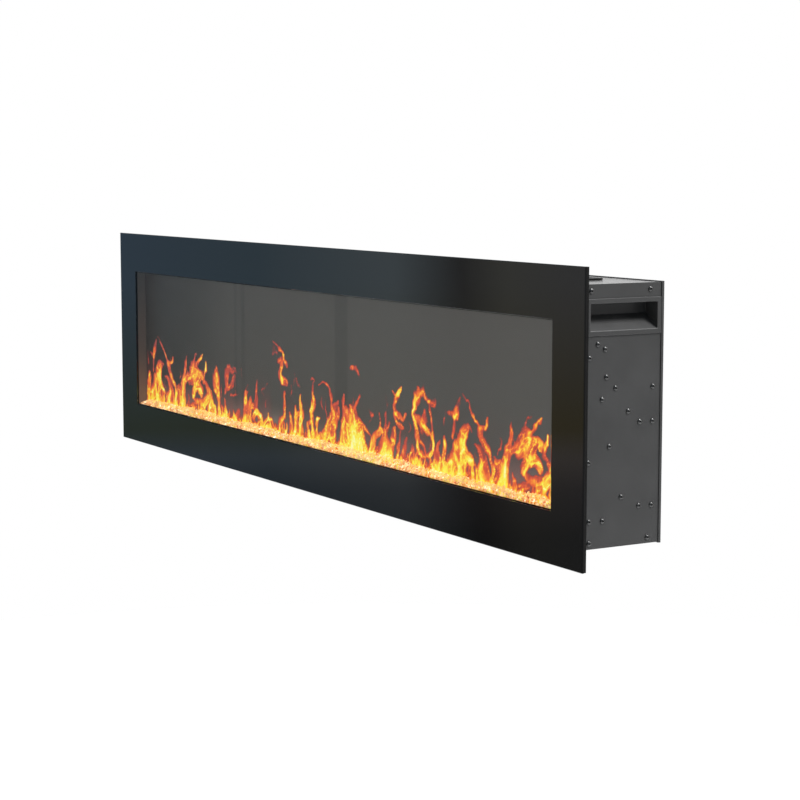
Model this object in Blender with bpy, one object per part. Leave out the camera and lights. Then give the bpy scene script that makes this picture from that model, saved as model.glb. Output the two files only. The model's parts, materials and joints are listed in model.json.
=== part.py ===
"""Recessed linear electric fireplace: a glass-fronted sheet-metal unit for a wall opening.

Run with: blender --background --python part.py

Frame: +X to the viewer's right, +Y into the wall, +Z up. The origin is the centre of the body's
underside. Depths in this file are measured from the front of the glass and heights from the body's
underside; finish_object() moves each mesh from there into the part frame. All sizes are in metres.
"""

import math

import bmesh
import bpy
from mathutils import Matrix, Vector

# ---------------------------------------------------------------- driving dimensions
PANEL_WIDTH = 1.830          # black glass front, overall
PANEL_HEIGHT = 0.476
SIDE_OVERHANG = 0.030        # glass past the body at each end
EDGE_OVERHANG = 0.0295       # glass past the body at top and bottom
BODY_DEPTH = 0.1642          # side panels, front edge to rear edge
BORDER = 0.086               # glass border round the window

GLASS = 0.004                # thickness of the front glass and of the clear pane
OUTER_SHEET = 0.0015         # body panels
INNER_SHEET = 0.001          # brackets, shelves and linings
FRAME_SHEET = 0.0012         # backing frame behind the glass
FIT = 0.0003                 # clearance between pieces that touch
FRAME_LAP = 0.012            # opening in the backing frame, past the window on every side
HOLDER_LAP = 0.002           # frame that holds the pane laps its edges
TRIM_RETURN = 0.0044         # the backing frame's edge reaches back to the wall behind the glass

RETURN_WIDTH = 0.012         # folded edges of the side panels
FLANGE_HEIGHT = 0.017        # down-turned ends of the top cover, up-turned ends of the pan
BACK_LIP = 0.0015            # back cover stands out past the body all round
BACK_RIM = 0.008
BACK_DEPTH = 0.0047

BED_DEPTH = 0.0222           # ember channel, front to back
SCREEN = 0.003               # frosted flame screen

MASK_GAP = 0.0105            # flame screen to flame mask
MASK_FOOT = 0.013
REFLECTOR_GAP = 0.045        # rear reflector to the body's rear
BRACKET_DEPTH = 0.028        # centre bearing bracket of the spindles, front to back
RAIL_FOOT = 0.014
LED_BOARD = 0.0016           # thickness of the LED boards
SPINDLE_SPACE = 70 / 301     # shares of the room left over in front of the bracket and behind the rail
RAIL_SPACE = 90 / 301
SPINDLE_HEIGHT = 0.070
SPINDLE_ROD = 0.003          # radius
FOIL_RADIUS = 0.018
FOIL_LENGTH = 0.030
FOIL_PITCH = 0.058
FOIL_SHEET = 0.0008
FOIL_TWIST = math.radians(52)
BUSH_LENGTH = 0.024
MOTOR_RADIUS = 0.024
MOTOR_LENGTH = 0.018

BLOWER_LENGTH = 0.340        # tangential blower rotor
BLOWER_BOX = 0.047           # housing, front to back
ROTOR_RADIUS = 0.019
ROTOR_BLADES = 14
HEATER_LENGTH = 0.300
HEATER_THICKNESS = 0.016

GRIP_FRONT_INSET = 0.0264    # grip recess in each side, from the body's edges
GRIP_REAR_INSET = 0.0081
GRIP_HEIGHT = 0.0428
GRIP_TOP_INSET = 0.0305
GRIP_RISE = 0.0234           # the floor rises to a finger shelf at the back of the cup
GRIP_DEPTH = 0.030
GRIP_FLANGE = 0.0076
GRIP_PROUD = 0.0015

VENT_END = 0.115             # louvred strip on the top, from the ends of the glass
VENT_REAR_INSET = 0.052
VENT_WIDTH = 0.058
VENT_THICKNESS = 0.003
VENT_COLUMNS = 24
VENT_ROWS = 3
VENT_SLOT = 0.006
VENT_BAYS = 12

SCREW_SHANK = 0.002
SCREW_HEAD = 0.0039
SCREW_HEAD_HEIGHT = 0.0024
SCREW_LENGTH = 0.008
SCREW_FRONT_INSET = 0.0285   # screw centres from the body's edges
SCREW_REAR_INSET = 0.0215
SCREW_LOW_INSET = 0.0095
SCREW_HIGH_INSET = 0.0105

BOARD_END = 0.083            # control board's outer edge from the end plate
BOARD_LEVEL = 0.150          # height of the electrics
ROCKER_REAR_INSET = 0.040    # mains switch and cable gland on the left side
ROCKER_HEIGHT = 0.060
ROCKER_BEZEL = (0.016, 0.011)
ROCKER_BODY = (0.014, 0.0095)
ROCKER_WELL = (0.012, 0.0075)
ROCKER_TRAVEL = math.radians(20)
GLAND_HEIGHT = 0.100
GLAND_STEM = 0.0078

# ---------------------------------------------------------------- derived places
BODY_WIDTH = PANEL_WIDTH - 2 * SIDE_OVERHANG       # sheet-metal body that goes into the wall
BODY_HEIGHT = PANEL_HEIGHT - 2 * EDGE_OVERHANG
TRIM_DEPTH = GLASS + TRIM_RETURN                   # front of the glass to the wall
FRAME_FRONT = GLASS + FIT
FRAME_BACK = FRAME_FRONT + FRAME_SHEET
BODY_FRONT = FRAME_BACK + FIT
BODY_REAR = BODY_FRONT + BODY_DEPTH
ORIGIN_DEPTH = BODY_FRONT + BODY_DEPTH / 2

PANEL_BOTTOM = (BODY_HEIGHT - PANEL_HEIGHT) / 2
PANEL_TOP = PANEL_BOTTOM + PANEL_HEIGHT
WINDOW_BOTTOM = PANEL_BOTTOM + BORDER
WINDOW_TOP = PANEL_TOP - BORDER
WINDOW_HALF = PANEL_WIDTH / 2 - BORDER
MIDDLE = BODY_HEIGHT / 2

BODY_HALF = BODY_WIDTH / 2
INSIDE_HALF = BODY_HALF - OUTER_SHEET - FIT
INSIDE_BOTTOM = OUTER_SHEET + FIT
INSIDE_TOP = BODY_HEIGHT - OUTER_SHEET - FIT

OPENING_HALF = WINDOW_HALF + FRAME_LAP
CHAMBER_FRONT = GLASS + FIT
LINING_FRONT = CHAMBER_FRONT + INNER_SHEET + FIT   # behind the frame that holds the pane
SCREEN_FRONT = CHAMBER_FRONT + BED_DEPTH - FIT
SCREEN_BACK = SCREEN_FRONT + SCREEN
CHAMBER_REAR = SCREEN_FRONT - FIT
LINING_HALF = WINDOW_HALF + FIT
END_PLATE = OPENING_HALF + 0.002                   # inner faces of the two end plates
SCREEN_HALF = END_PLATE - 0.003
CHANNEL_HALF = END_PLATE - 0.004

CHAMBER_TOP = WINDOW_TOP + INNER_SHEET
FLOOR_LEVEL = WINDOW_BOTTOM - 0.028
CHANNEL_LIP = 0.010
SCREEN_BOTTOM = FLOOR_LEVEL - 0.013
SCREEN_TOP = CHAMBER_TOP + INNER_SHEET + 0.0145
SHELF_LEVEL = CHAMBER_TOP + INNER_SHEET + FIT
BAY_BOTTOM = SHELF_LEVEL + INNER_SHEET + FIT

OPTICS_FRONT = SCREEN_BACK + 2 * FIT + INNER_SHEET  # behind the screen channels
MASK_DEPTH = SCREEN_BACK + MASK_GAP
REFLECTOR_DEPTH = BODY_REAR - REFLECTOR_GAP
OPTICS_START = MASK_DEPTH + MASK_FOOT
OPTICS_FILL = BRACKET_DEPTH + LED_BOARD + FIT + RAIL_FOOT
OPTICS_ROOM = REFLECTOR_DEPTH - OPTICS_START - OPTICS_FILL
SPINDLE_DEPTH = OPTICS_START + OPTICS_ROOM * SPINDLE_SPACE + BRACKET_DEPTH / 2
RAIL_FRONT = REFLECTOR_DEPTH - OPTICS_ROOM * RAIL_SPACE - RAIL_FOOT
SHELF_REAR = BODY_REAR - OUTER_SHEET - FIT

BLOWER_REAR = BODY_REAR - 0.003
BLOWER_FRONT = BLOWER_REAR - BLOWER_BOX
BLOWER_DEPTH = BLOWER_REAR - 0.024
BLOWER_HEIGHT = (BAY_BOTTOM + INSIDE_TOP) / 2

GRIP_FRONT = BODY_FRONT + GRIP_FRONT_INSET
GRIP_REAR = BODY_REAR - GRIP_REAR_INSET
GRIP_TOP = BODY_HEIGHT - GRIP_TOP_INSET
GRIP_BOTTOM = GRIP_TOP - GRIP_HEIGHT
GRIP_INNER_BOTTOM = GRIP_BOTTOM + GRIP_RISE
VENT_LENGTH = PANEL_WIDTH - 2 * VENT_END
VENT_REAR = BODY_REAR - VENT_REAR_INSET
VENT_FRONT = VENT_REAR - VENT_WIDTH
BOARD_START = BOARD_END - END_PLATE                # left edge of the control board
ROCKER_DEPTH = BODY_REAR - ROCKER_REAR_INSET
GLAND_DEPTH = ROCKER_DEPTH

PIN_SIDES = 12
ROUND_SIDES = 24
SIDES = {"left": -1, "right": 1}

# ---------------------------------------------------------------- materials
FINISHES = {                 # sRGB colour, metallic, roughness
    "black_glass": ((0.02, 0.02, 0.025), 0.0, 0.06),
    "clear_glass": ((0.85, 0.88, 0.88), 0.0, 0.03),
    "frosted_acrylic": ((0.28, 0.27, 0.26), 0.0, 0.45),
    "clear_acrylic": ((0.80, 0.82, 0.82), 0.0, 0.15),
    "ember_crystal": ((0.94, 0.66, 0.38), 0.0, 0.20),
    "satin_black_steel": ((0.18, 0.18, 0.18), 0.6, 0.45),
    "black_plastic": ((0.03, 0.03, 0.03), 0.0, 0.40),
    "galvanised_steel": ((0.62, 0.64, 0.65), 1.0, 0.38),
    "mirror_foil": ((0.80, 0.80, 0.82), 1.0, 0.12),
    "circuit_board": ((0.05, 0.24, 0.12), 0.0, 0.50),
    "white_nylon": ((0.85, 0.85, 0.82), 0.0, 0.45),
    "heater_ceramic": ((0.70, 0.66, 0.60), 0.2, 0.60),
    "rocker_black": ((0.02, 0.02, 0.02), 0.0, 0.30),
}


def linear(channel):
    """One sRGB channel as a linear value."""
    if channel <= 0.04045:
        return channel / 12.92
    return ((channel + 0.055) / 1.055) ** 2.4


def make_materials():
    """A Principled material for each finish."""
    made = {}
    for name, (colour, metallic, roughness) in FINISHES.items():
        material = bpy.data.materials.new(name)
        material.use_nodes = True
        shader = material.node_tree.nodes["Principled BSDF"]
        shader.inputs["Base Color"].default_value = (*[linear(c) for c in colour], 1.0)
        shader.inputs["Metallic"].default_value = metallic
        shader.inputs["Roughness"].default_value = roughness
        made[name] = material
    return made


# ---------------------------------------------------------------- mesh helpers
def add_box(mesh, corner_a, corner_b):
    """A box between two opposite corners."""
    low = Vector([min(a, b) for a, b in zip(corner_a, corner_b)])
    high = Vector([max(a, b) for a, b in zip(corner_a, corner_b)])
    size = high - low
    place = Matrix.Translation((low + high) / 2) @ Matrix.Diagonal((*size, 1.0))
    bmesh.ops.create_cube(mesh, size=1.0, matrix=place)


def add_prism(mesh, outline, axis, start, end):
    """A prism: a closed outline in the plane across the axis, carried from start to end.

    The outline's two values are the other two coordinates in X, Y, Z order.
    """
    def point(pair, along):
        values = list(pair)
        values.insert("XYZ".index(axis), along)
        return mesh.verts.new(values)

    near = [point(pair, start) for pair in outline]
    far = [point(pair, end) for pair in outline]
    mesh.faces.new(near)
    mesh.faces.new(far)
    count = len(outline)
    for i in range(count):
        j = (i + 1) % count
        mesh.faces.new((near[i], near[j], far[j], far[i]))


def add_turned(mesh, centre, profile, sides=PIN_SIDES, outward=1):
    """A piece turned about an axis along X through centre (depth, height).

    The profile is a list of (distance along X, radius); an end of zero radius closes on the axis,
    and a profile with no zero radius closes on itself as a ring.
    """
    rings = []
    for along, radius in profile:
        x = along * outward
        if radius == 0:
            rings.append([mesh.verts.new((x, *centre))])
            continue
        ring = []
        for step in range(sides):
            angle = math.tau * step / sides
            y = centre[0] + radius * math.cos(angle)
            z = centre[1] + radius * math.sin(angle)
            ring.append(mesh.verts.new((x, y, z)))
        rings.append(ring)
    closed = all(len(ring) > 1 for ring in rings)
    pairs = list(zip(rings, rings[1:]))
    if closed:
        pairs.append((rings[-1], rings[0]))
    for first, second in pairs:
        for step in range(sides):
            after = (step + 1) % sides
            if len(first) == 1:
                mesh.faces.new((first[0], second[step], second[after]))
            elif len(second) == 1:
                mesh.faces.new((first[step], first[after], second[0]))
            else:
                mesh.faces.new((first[step], first[after], second[after], second[step]))


def add_mitred_frame(mesh, profile):
    """A rectangular frame with mitred corners, centred on the window.

    The profile is a closed list of (half width, half height, depth) points.
    """
    corners = ((-1, -1), (1, -1), (1, 1), (-1, 1))
    rails = []
    for sign_x, sign_z in corners:
        rail = [mesh.verts.new((sign_x * wide, depth, MIDDLE + sign_z * high))
                for wide, high, depth in profile]
        rails.append(rail)
    count = len(profile)
    for corner in range(4):
        here = rails[corner]
        there = rails[(corner + 1) % 4]
        for i in range(count):
            j = (i + 1) % count
            mesh.faces.new((here[i], here[j], there[j], there[i]))


def box_mesh(*boxes):
    """A mesh that holds one or more boxes, each given by two corners."""
    mesh = bmesh.new()
    for corner_a, corner_b in boxes:
        add_box(mesh, corner_a, corner_b)
    return mesh


def prism_mesh(outline, axis, start, end):
    """A mesh that holds one prism."""
    mesh = bmesh.new()
    add_prism(mesh, outline, axis, start, end)
    return mesh


def turned_mesh(centre, profile, sides=PIN_SIDES, outward=1):
    """A mesh that holds one turned piece."""
    mesh = bmesh.new()
    add_turned(mesh, centre, profile, sides, outward)
    return mesh


def finish_object(name, mesh, material=None, pivot=(0.0, 0.0, 0.0), smooth=False):
    """Make the object: mesh data about the pivot, and the object's location on the pivot."""
    bmesh.ops.recalc_face_normals(mesh, faces=mesh.faces)
    bmesh.ops.translate(mesh, vec=-Vector(pivot), verts=mesh.verts)
    data = bpy.data.meshes.new(name)
    mesh.to_mesh(data)
    mesh.free()
    if smooth:
        data.shade_smooth()
        data.set_sharp_from_angle(angle=math.radians(35))
    if material is not None:
        data.materials.append(material)
    made = bpy.data.objects.new(name, data)
    made.location = Vector(pivot) - Vector((0.0, ORIGIN_DEPTH, 0.0))
    bpy.context.scene.collection.objects.link(made)
    return made


def combine(target, tool_mesh, operation):
    """Cut a mesh from the target, or join it on, with a Boolean and a hidden guide object."""
    guide = finish_object(target.name + "_guide", tool_mesh)
    guide.hide_render = True
    guide.display_type = "WIRE"
    modifier = target.modifiers.new(operation.title(), "BOOLEAN")
    modifier.operation = operation
    modifier.object = guide


# ---------------------------------------------------------------- glass front
def build_front(finish):
    """Black glass surround, its folded backing frame, the clear pane and the pane's holder."""
    half_w = PANEL_WIDTH / 2
    half_h = PANEL_HEIGHT / 2
    window_h = half_h - BORDER
    chamfer = 0.0006

    mesh = bmesh.new()
    add_mitred_frame(mesh, [
        (WINDOW_HALF, window_h, 0.0),
        (half_w - chamfer, half_h - chamfer, 0.0),
        (half_w, half_h, chamfer),
        (half_w, half_h, GLASS),
        (WINDOW_HALF, window_h, GLASS),
    ])
    finish_object("front_glass", mesh, finish["black_glass"])

    inner_w = OPENING_HALF + FIT
    inner_h = window_h + FRAME_LAP + FIT
    edge = 0.0004
    hem = 0.014
    outer_w = half_w - edge
    outer_h = half_h - edge
    hem_front = TRIM_DEPTH - FRAME_SHEET
    mesh = bmesh.new()
    add_mitred_frame(mesh, [
        (inner_w, inner_h, FRAME_FRONT),
        (outer_w, outer_h, FRAME_FRONT),
        (outer_w, outer_h, TRIM_DEPTH),
        (outer_w - hem, outer_h - hem, TRIM_DEPTH),
        (outer_w - hem, outer_h - hem, hem_front),
        (outer_w - FRAME_SHEET, outer_h - FRAME_SHEET, hem_front),
        (outer_w - FRAME_SHEET, outer_h - FRAME_SHEET, FRAME_BACK),
        (inner_w, inner_h, FRAME_BACK),
    ])
    frame = finish_object("front_subframe", mesh, finish["satin_black_steel"])

    board_low = (OPENING_HALF + 0.007, FRAME_FRONT, MIDDLE - 0.050)
    board_high = (OPENING_HALF + 0.027, FRAME_FRONT + 0.0010, MIDDLE + 0.050)
    finish_object("touch_board", box_mesh((board_low, board_high)), finish["circuit_board"])
    window_low = (board_low[0] - FIT, FRAME_FRONT - 0.0001, board_low[2] - FIT)
    window_high = (board_high[0] + FIT, BODY_FRONT, board_high[2] + FIT)
    combine(frame, box_mesh((window_low, window_high)), "DIFFERENCE")

    pane_half = WINDOW_HALF - FIT
    pane = box_mesh(((-pane_half, 0.0, WINDOW_BOTTOM + FIT), (pane_half, GLASS, WINDOW_TOP - FIT)))
    finish_object("viewing_glass", pane, finish["clear_glass"])

    holder_depth = CHAMBER_FRONT + INNER_SHEET
    mesh = bmesh.new()
    add_mitred_frame(mesh, [
        (WINDOW_HALF - HOLDER_LAP, window_h - HOLDER_LAP, CHAMBER_FRONT),
        (OPENING_HALF - FIT, window_h + FRAME_LAP - FIT, CHAMBER_FRONT),
        (OPENING_HALF - FIT, window_h + FRAME_LAP - FIT, holder_depth),
        (WINDOW_HALF - HOLDER_LAP, window_h - HOLDER_LAP, holder_depth),
    ])
    finish_object("pane_holder", mesh, finish["satin_black_steel"])


# ---------------------------------------------------------------- viewing chamber
def build_chamber(finish):
    """Side and top linings, floor, ember channel with its lights, and the flame screen."""
    for side, sign in SIDES.items():
        outline = [
            (sign * LINING_HALF, LINING_FRONT),
            (sign * (LINING_HALF + INNER_SHEET), LINING_FRONT),
            (sign * (LINING_HALF + INNER_SHEET), CHAMBER_REAR - INNER_SHEET),
            (sign * (LINING_HALF + 0.010), CHAMBER_REAR - INNER_SHEET),
            (sign * (LINING_HALF + 0.010), CHAMBER_REAR),
            (sign * LINING_HALF, CHAMBER_REAR),
        ]
        mesh = prism_mesh(outline, "Z", FLOOR_LEVEL, CHAMBER_TOP)
        finish_object("chamber_side_" + side, mesh, finish["satin_black_steel"])

    lining = WINDOW_HALF
    outline = [
        (LINING_FRONT, CHAMBER_TOP - INNER_SHEET + FIT),
        (CHAMBER_REAR, CHAMBER_TOP - INNER_SHEET + FIT),
        (CHAMBER_REAR, CHAMBER_TOP + 0.005),
        (CHAMBER_REAR - INNER_SHEET, CHAMBER_TOP + 0.005),
        (CHAMBER_REAR - INNER_SHEET, CHAMBER_TOP + FIT),
        (LINING_FRONT, CHAMBER_TOP + FIT),
    ]
    finish_object("chamber_ceiling", prism_mesh(outline, "X", -lining, lining), finish["satin_black_steel"])

    floor = ((-lining, LINING_FRONT, FLOOR_LEVEL), (lining, CHAMBER_REAR, FLOOR_LEVEL + INNER_SHEET))
    finish_object("chamber_floor", box_mesh(floor), finish["galvanised_steel"])

    tray_bottom = FLOOR_LEVEL + INNER_SHEET + FIT
    tray_top = WINDOW_BOTTOM - 0.002
    web = tray_bottom + 0.0067
    wall = INNER_SHEET
    tray_half = lining - FIT
    front = LINING_FRONT
    rear = CHAMBER_REAR
    outline = [
        (front, tray_bottom), (front + wall, tray_bottom), (front + wall, web),
        (rear - wall, web), (rear - wall, tray_bottom), (rear, tray_bottom),
        (rear, tray_top), (rear - wall, tray_top), (rear - wall, web + wall),
        (front + wall, web + wall), (front + wall, tray_top), (front, tray_top),
    ]
    finish_object("ember_tray", prism_mesh(outline, "X", -tray_half, tray_half), finish["clear_acrylic"])

    board_half = WINDOW_HALF - 0.019
    board = ((-board_half, front + wall + FIT, tray_bottom),
             (board_half, rear - wall - FIT, tray_bottom + LED_BOARD))
    finish_object("ember_led_board", box_mesh(board), finish["circuit_board"])

    low = web + wall + FIT
    brim = tray_top + FIT
    bed_front = LINING_FRONT
    bed_rear = CHAMBER_REAR - FIT
    outline = [
        (front + wall + FIT, low), (rear - wall - FIT, low), (rear - wall - FIT, brim),
        (bed_rear, brim), (bed_rear, brim + 0.017), ((bed_front + bed_rear) / 2 + 0.001, brim + 0.015),
        (bed_front, brim + 0.006), (bed_front, brim), (front + wall + FIT, brim),
    ]
    finish_object("ember_bed", prism_mesh(outline, "X", -tray_half, tray_half), finish["ember_crystal"])

    screen = ((-SCREEN_HALF, SCREEN_FRONT, SCREEN_BOTTOM), (SCREEN_HALF, SCREEN_BACK, SCREEN_TOP))
    finish_object("flame_screen", box_mesh(screen), finish["frosted_acrylic"])
    for name, edge_z, away, stop in (("screen_channel_top", SCREEN_TOP, 1, INSIDE_TOP),
                                     ("screen_channel_bottom", SCREEN_BOTTOM, -1, INSIDE_BOTTOM)):
        seat = edge_z + away * FIT
        lip = edge_z - away * CHANNEL_LIP
        near = SCREEN_FRONT - FIT
        far = SCREEN_BACK + FIT
        outline = [
            (near, lip), (near, seat), (far, seat), (far, lip), (far + INNER_SHEET, lip),
            (far + INNER_SHEET, stop), (far, stop), (far, seat + away * INNER_SHEET),
            (near - INNER_SHEET, seat + away * INNER_SHEET), (near - INNER_SHEET, lip),
        ]
        mesh = prism_mesh(outline, "X", -CHANNEL_HALF, CHANNEL_HALF)
        finish_object(name, mesh, finish["galvanised_steel"])


# ---------------------------------------------------------------- flame effect
def flame_outline(centre, base, height, width, lean):
    """One flame-shaped slot as (x, z) points: a round foot and a leaning tip."""
    return [
        (centre - width * 0.30, base),
        (centre + width * 0.30, base),
        (centre + width * 0.50, base + height * 0.25),
        (centre + width * 0.32 + lean * 0.5, base + height * 0.60),
        (centre + lean, base + height),
        (centre - width * 0.10 + lean * 0.4, base + height * 0.62),
        (centre - width * 0.48, base + height * 0.28),
    ]


def build_flame_optics(finish):
    """Slotted flame mask, end plates, LED strip on its rail, and the rear reflector."""
    mask_half = END_PLATE - 0.008
    mask_top = WINDOW_TOP - 0.060
    outline = [
        (MASK_DEPTH, INSIDE_BOTTOM), (OPTICS_START, INSIDE_BOTTOM),
        (OPTICS_START, INSIDE_BOTTOM + INNER_SHEET),
        (MASK_DEPTH + INNER_SHEET, INSIDE_BOTTOM + INNER_SHEET),
        (MASK_DEPTH + INNER_SHEET, mask_top), (MASK_DEPTH, mask_top),
    ]
    mesh = prism_mesh(outline, "X", -mask_half, mask_half)
    mask = finish_object("flame_mask", mesh, finish["mirror_foil"])
    slots = bmesh.new()
    slot_count = 18
    pitch = 2 * (mask_half - 0.030) / slot_count
    slot_foot = WINDOW_BOTTOM + 0.010
    reach = mask_top - slot_foot
    for index in range(slot_count):
        centre = -mask_half + 0.030 + pitch * (index + 0.5)
        height = reach * (0.5128 + 0.2564 * math.sin(index * 2.4))
        lean = 0.016 * math.sin(index * 1.7 + 0.6)
        shape = flame_outline(centre, slot_foot, height, pitch * 0.62, lean)
        add_prism(slots, shape, "Y", MASK_DEPTH - 0.002, MASK_DEPTH + 0.003)
    combine(mask, slots, "DIFFERENCE")

    for side, sign in SIDES.items():
        plate = ((sign * END_PLATE, OPTICS_FRONT + FIT, INSIDE_BOTTOM),
                 (sign * (END_PLATE + FRAME_SHEET), BODY_REAR - 0.004, INSIDE_TOP))
        plate = finish_object("end_plate_" + side, box_mesh(plate), finish["galvanised_steel"])
        hole = turned_mesh((SPINDLE_DEPTH, SPINDLE_HEIGHT), [
            (END_PLATE - 0.002, 0), (END_PLATE - 0.002, 0.0076),
            (END_PLATE + 0.004, 0.0076), (END_PLATE + 0.004, 0),
        ], ROUND_SIDES, sign)
        combine(plate, hole, "DIFFERENCE")

    rail_top = 0.034
    rail_half = END_PLATE - 0.028
    outline = [
        (RAIL_FRONT, INSIDE_BOTTOM), (RAIL_FRONT + RAIL_FOOT, INSIDE_BOTTOM),
        (RAIL_FRONT + RAIL_FOOT, INSIDE_BOTTOM + FRAME_SHEET),
        (RAIL_FRONT + FRAME_SHEET, INSIDE_BOTTOM + FRAME_SHEET),
        (RAIL_FRONT + FRAME_SHEET, rail_top), (RAIL_FRONT, rail_top),
    ]
    finish_object("led_rail", prism_mesh(outline, "X", -rail_half, rail_half), finish["galvanised_steel"])
    board_back = RAIL_FRONT - FIT
    board = ((-rail_half, board_back - LED_BOARD, 0.012), (rail_half, board_back, 0.032))
    finish_object("flame_led_board", box_mesh(board), finish["circuit_board"])

    reflector_half = END_PLATE - FIT
    outline = [
        (REFLECTOR_DEPTH, INSIDE_BOTTOM), (REFLECTOR_DEPTH + 0.012, INSIDE_BOTTOM),
        (REFLECTOR_DEPTH + 0.012, INSIDE_BOTTOM + INNER_SHEET),
        (REFLECTOR_DEPTH + INNER_SHEET, INSIDE_BOTTOM + INNER_SHEET),
        (REFLECTOR_DEPTH + INNER_SHEET, SHELF_LEVEL - FIT), (REFLECTOR_DEPTH, SHELF_LEVEL - FIT),
    ]
    mesh = prism_mesh(outline, "X", -reflector_half, reflector_half)
    finish_object("rear_reflector", mesh, finish["mirror_foil"])


def build_spindles(finish):
    """Two foil spindles on one axis, their centre bearing, couplings and synchronous motors."""
    axis = (SPINDLE_DEPTH, SPINDLE_HEIGHT)
    bush_bore = SPINDLE_ROD + FIT
    bush_outer = 0.0065
    bracket_half = 0.001
    bracket_foot = 0.012
    outline = [
        (-bracket_half, INSIDE_BOTTOM), (bracket_foot, INSIDE_BOTTOM),
        (bracket_foot, INSIDE_BOTTOM + INNER_SHEET), (bracket_half, INSIDE_BOTTOM + INNER_SHEET),
        (bracket_half, SPINDLE_HEIGHT + 0.014), (-bracket_half, SPINDLE_HEIGHT + 0.014),
    ]
    mesh = bmesh.new()
    near = SPINDLE_DEPTH - BRACKET_DEPTH / 2
    far = SPINDLE_DEPTH + BRACKET_DEPTH / 2
    add_prism(mesh, outline, "Y", near, far)
    bracket = finish_object("spindle_bracket", mesh, finish["galvanised_steel"])
    hole_radius = bush_outer + FIT
    hole = [(-0.003, 0), (-0.003, hole_radius), (0.003, hole_radius), (0.003, 0)]
    combine(bracket, turned_mesh(axis, hole, ROUND_SIDES), "DIFFERENCE")

    flange = bracket_half + FIT
    bush = [
        (-BUSH_LENGTH / 2, bush_bore), (-BUSH_LENGTH / 2, bush_outer), (flange, bush_outer),
        (flange, bush_outer + 0.003), (flange + 0.002, bush_outer + 0.003), (flange + 0.002, bush_outer),
        (BUSH_LENGTH / 2, bush_outer), (BUSH_LENGTH / 2, bush_bore),
    ]
    mesh = turned_mesh(axis, bush, PIN_SIDES)
    finish_object("spindle_bush", mesh, finish["white_nylon"], smooth=True)

    rod_start = 0.0005
    rod_end = END_PLATE - 0.010
    pivot = (0.0, *axis)
    for side, sign in SIDES.items():
        rod = [(rod_start, 0), (rod_start, SPINDLE_ROD), (rod_end, SPINDLE_ROD), (rod_end, 0)]
        spindle = finish_object("flicker_spindle_" + side, turned_mesh(axis, rod, PIN_SIDES, sign),
                                finish["mirror_foil"], pivot, True)
        foils = bmesh.new()
        first = BUSH_LENGTH / 2 + 0.010
        sleeve_start = rod_end - 0.014
        count = int((sleeve_start - first) / FOIL_PITCH)
        for index in range(count):
            start = first + index * FOIL_PITCH
            foil = box_mesh(((sign * start, -FOIL_SHEET / 2, -FOIL_RADIUS),
                             (sign * (start + FOIL_LENGTH), FOIL_SHEET / 2, FOIL_RADIUS)))
            turn = Matrix.Rotation(index * FOIL_TWIST + 0.13, 3, "X")
            bmesh.ops.rotate(foil, matrix=turn, verts=foil.verts)
            bmesh.ops.translate(foil, vec=Vector(pivot), verts=foil.verts)
            part = bpy.data.meshes.new("foil")
            foil.to_mesh(part)
            foil.free()
            foils.from_mesh(part)
            bpy.data.meshes.remove(part)
        combine(spindle, foils, "UNION")

        stub = 0.0022
        coupling = [
            (sleeve_start, SPINDLE_ROD + FIT), (sleeve_start, 0.006), (rod_end + 0.004, 0.006),
            (rod_end + 0.004, stub), (END_PLATE + 0.006, stub), (END_PLATE + 0.006, 0),
            (rod_end + FIT, 0), (rod_end + FIT, SPINDLE_ROD + FIT),
        ]
        mesh = bmesh.new()
        add_coupling(mesh, axis, coupling, sign)
        finish_object("spindle_coupling_" + side, mesh, finish["white_nylon"], pivot, True)

        plate_out = END_PLATE + FRAME_SHEET + FIT
        bore = stub + FIT
        boss = 0.0070
        motor = [
            (END_PLATE - 0.001, bore), (END_PLATE - 0.001, boss), (plate_out, boss),
            (plate_out, MOTOR_RADIUS), (plate_out + MOTOR_LENGTH, MOTOR_RADIUS),
            (plate_out + MOTOR_LENGTH, 0), (END_PLATE + 0.0066, 0), (END_PLATE + 0.0066, bore),
        ]
        mesh = bmesh.new()
        add_coupling(mesh, axis, motor, sign, ROUND_SIDES)
        finish_object("spindle_motor_" + side, mesh, finish["galvanised_steel"], smooth=True)


def add_coupling(mesh, axis, profile, sign, sides=PIN_SIDES):
    """A turned piece with a blind bore: the profile touches the axis twice, in its middle."""
    first = next(i for i, (_, radius) in enumerate(profile) if radius == 0)
    outer = profile[first + 1:] + profile[:first + 1]
    add_turned(mesh, axis, outer, sides, sign)


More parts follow.
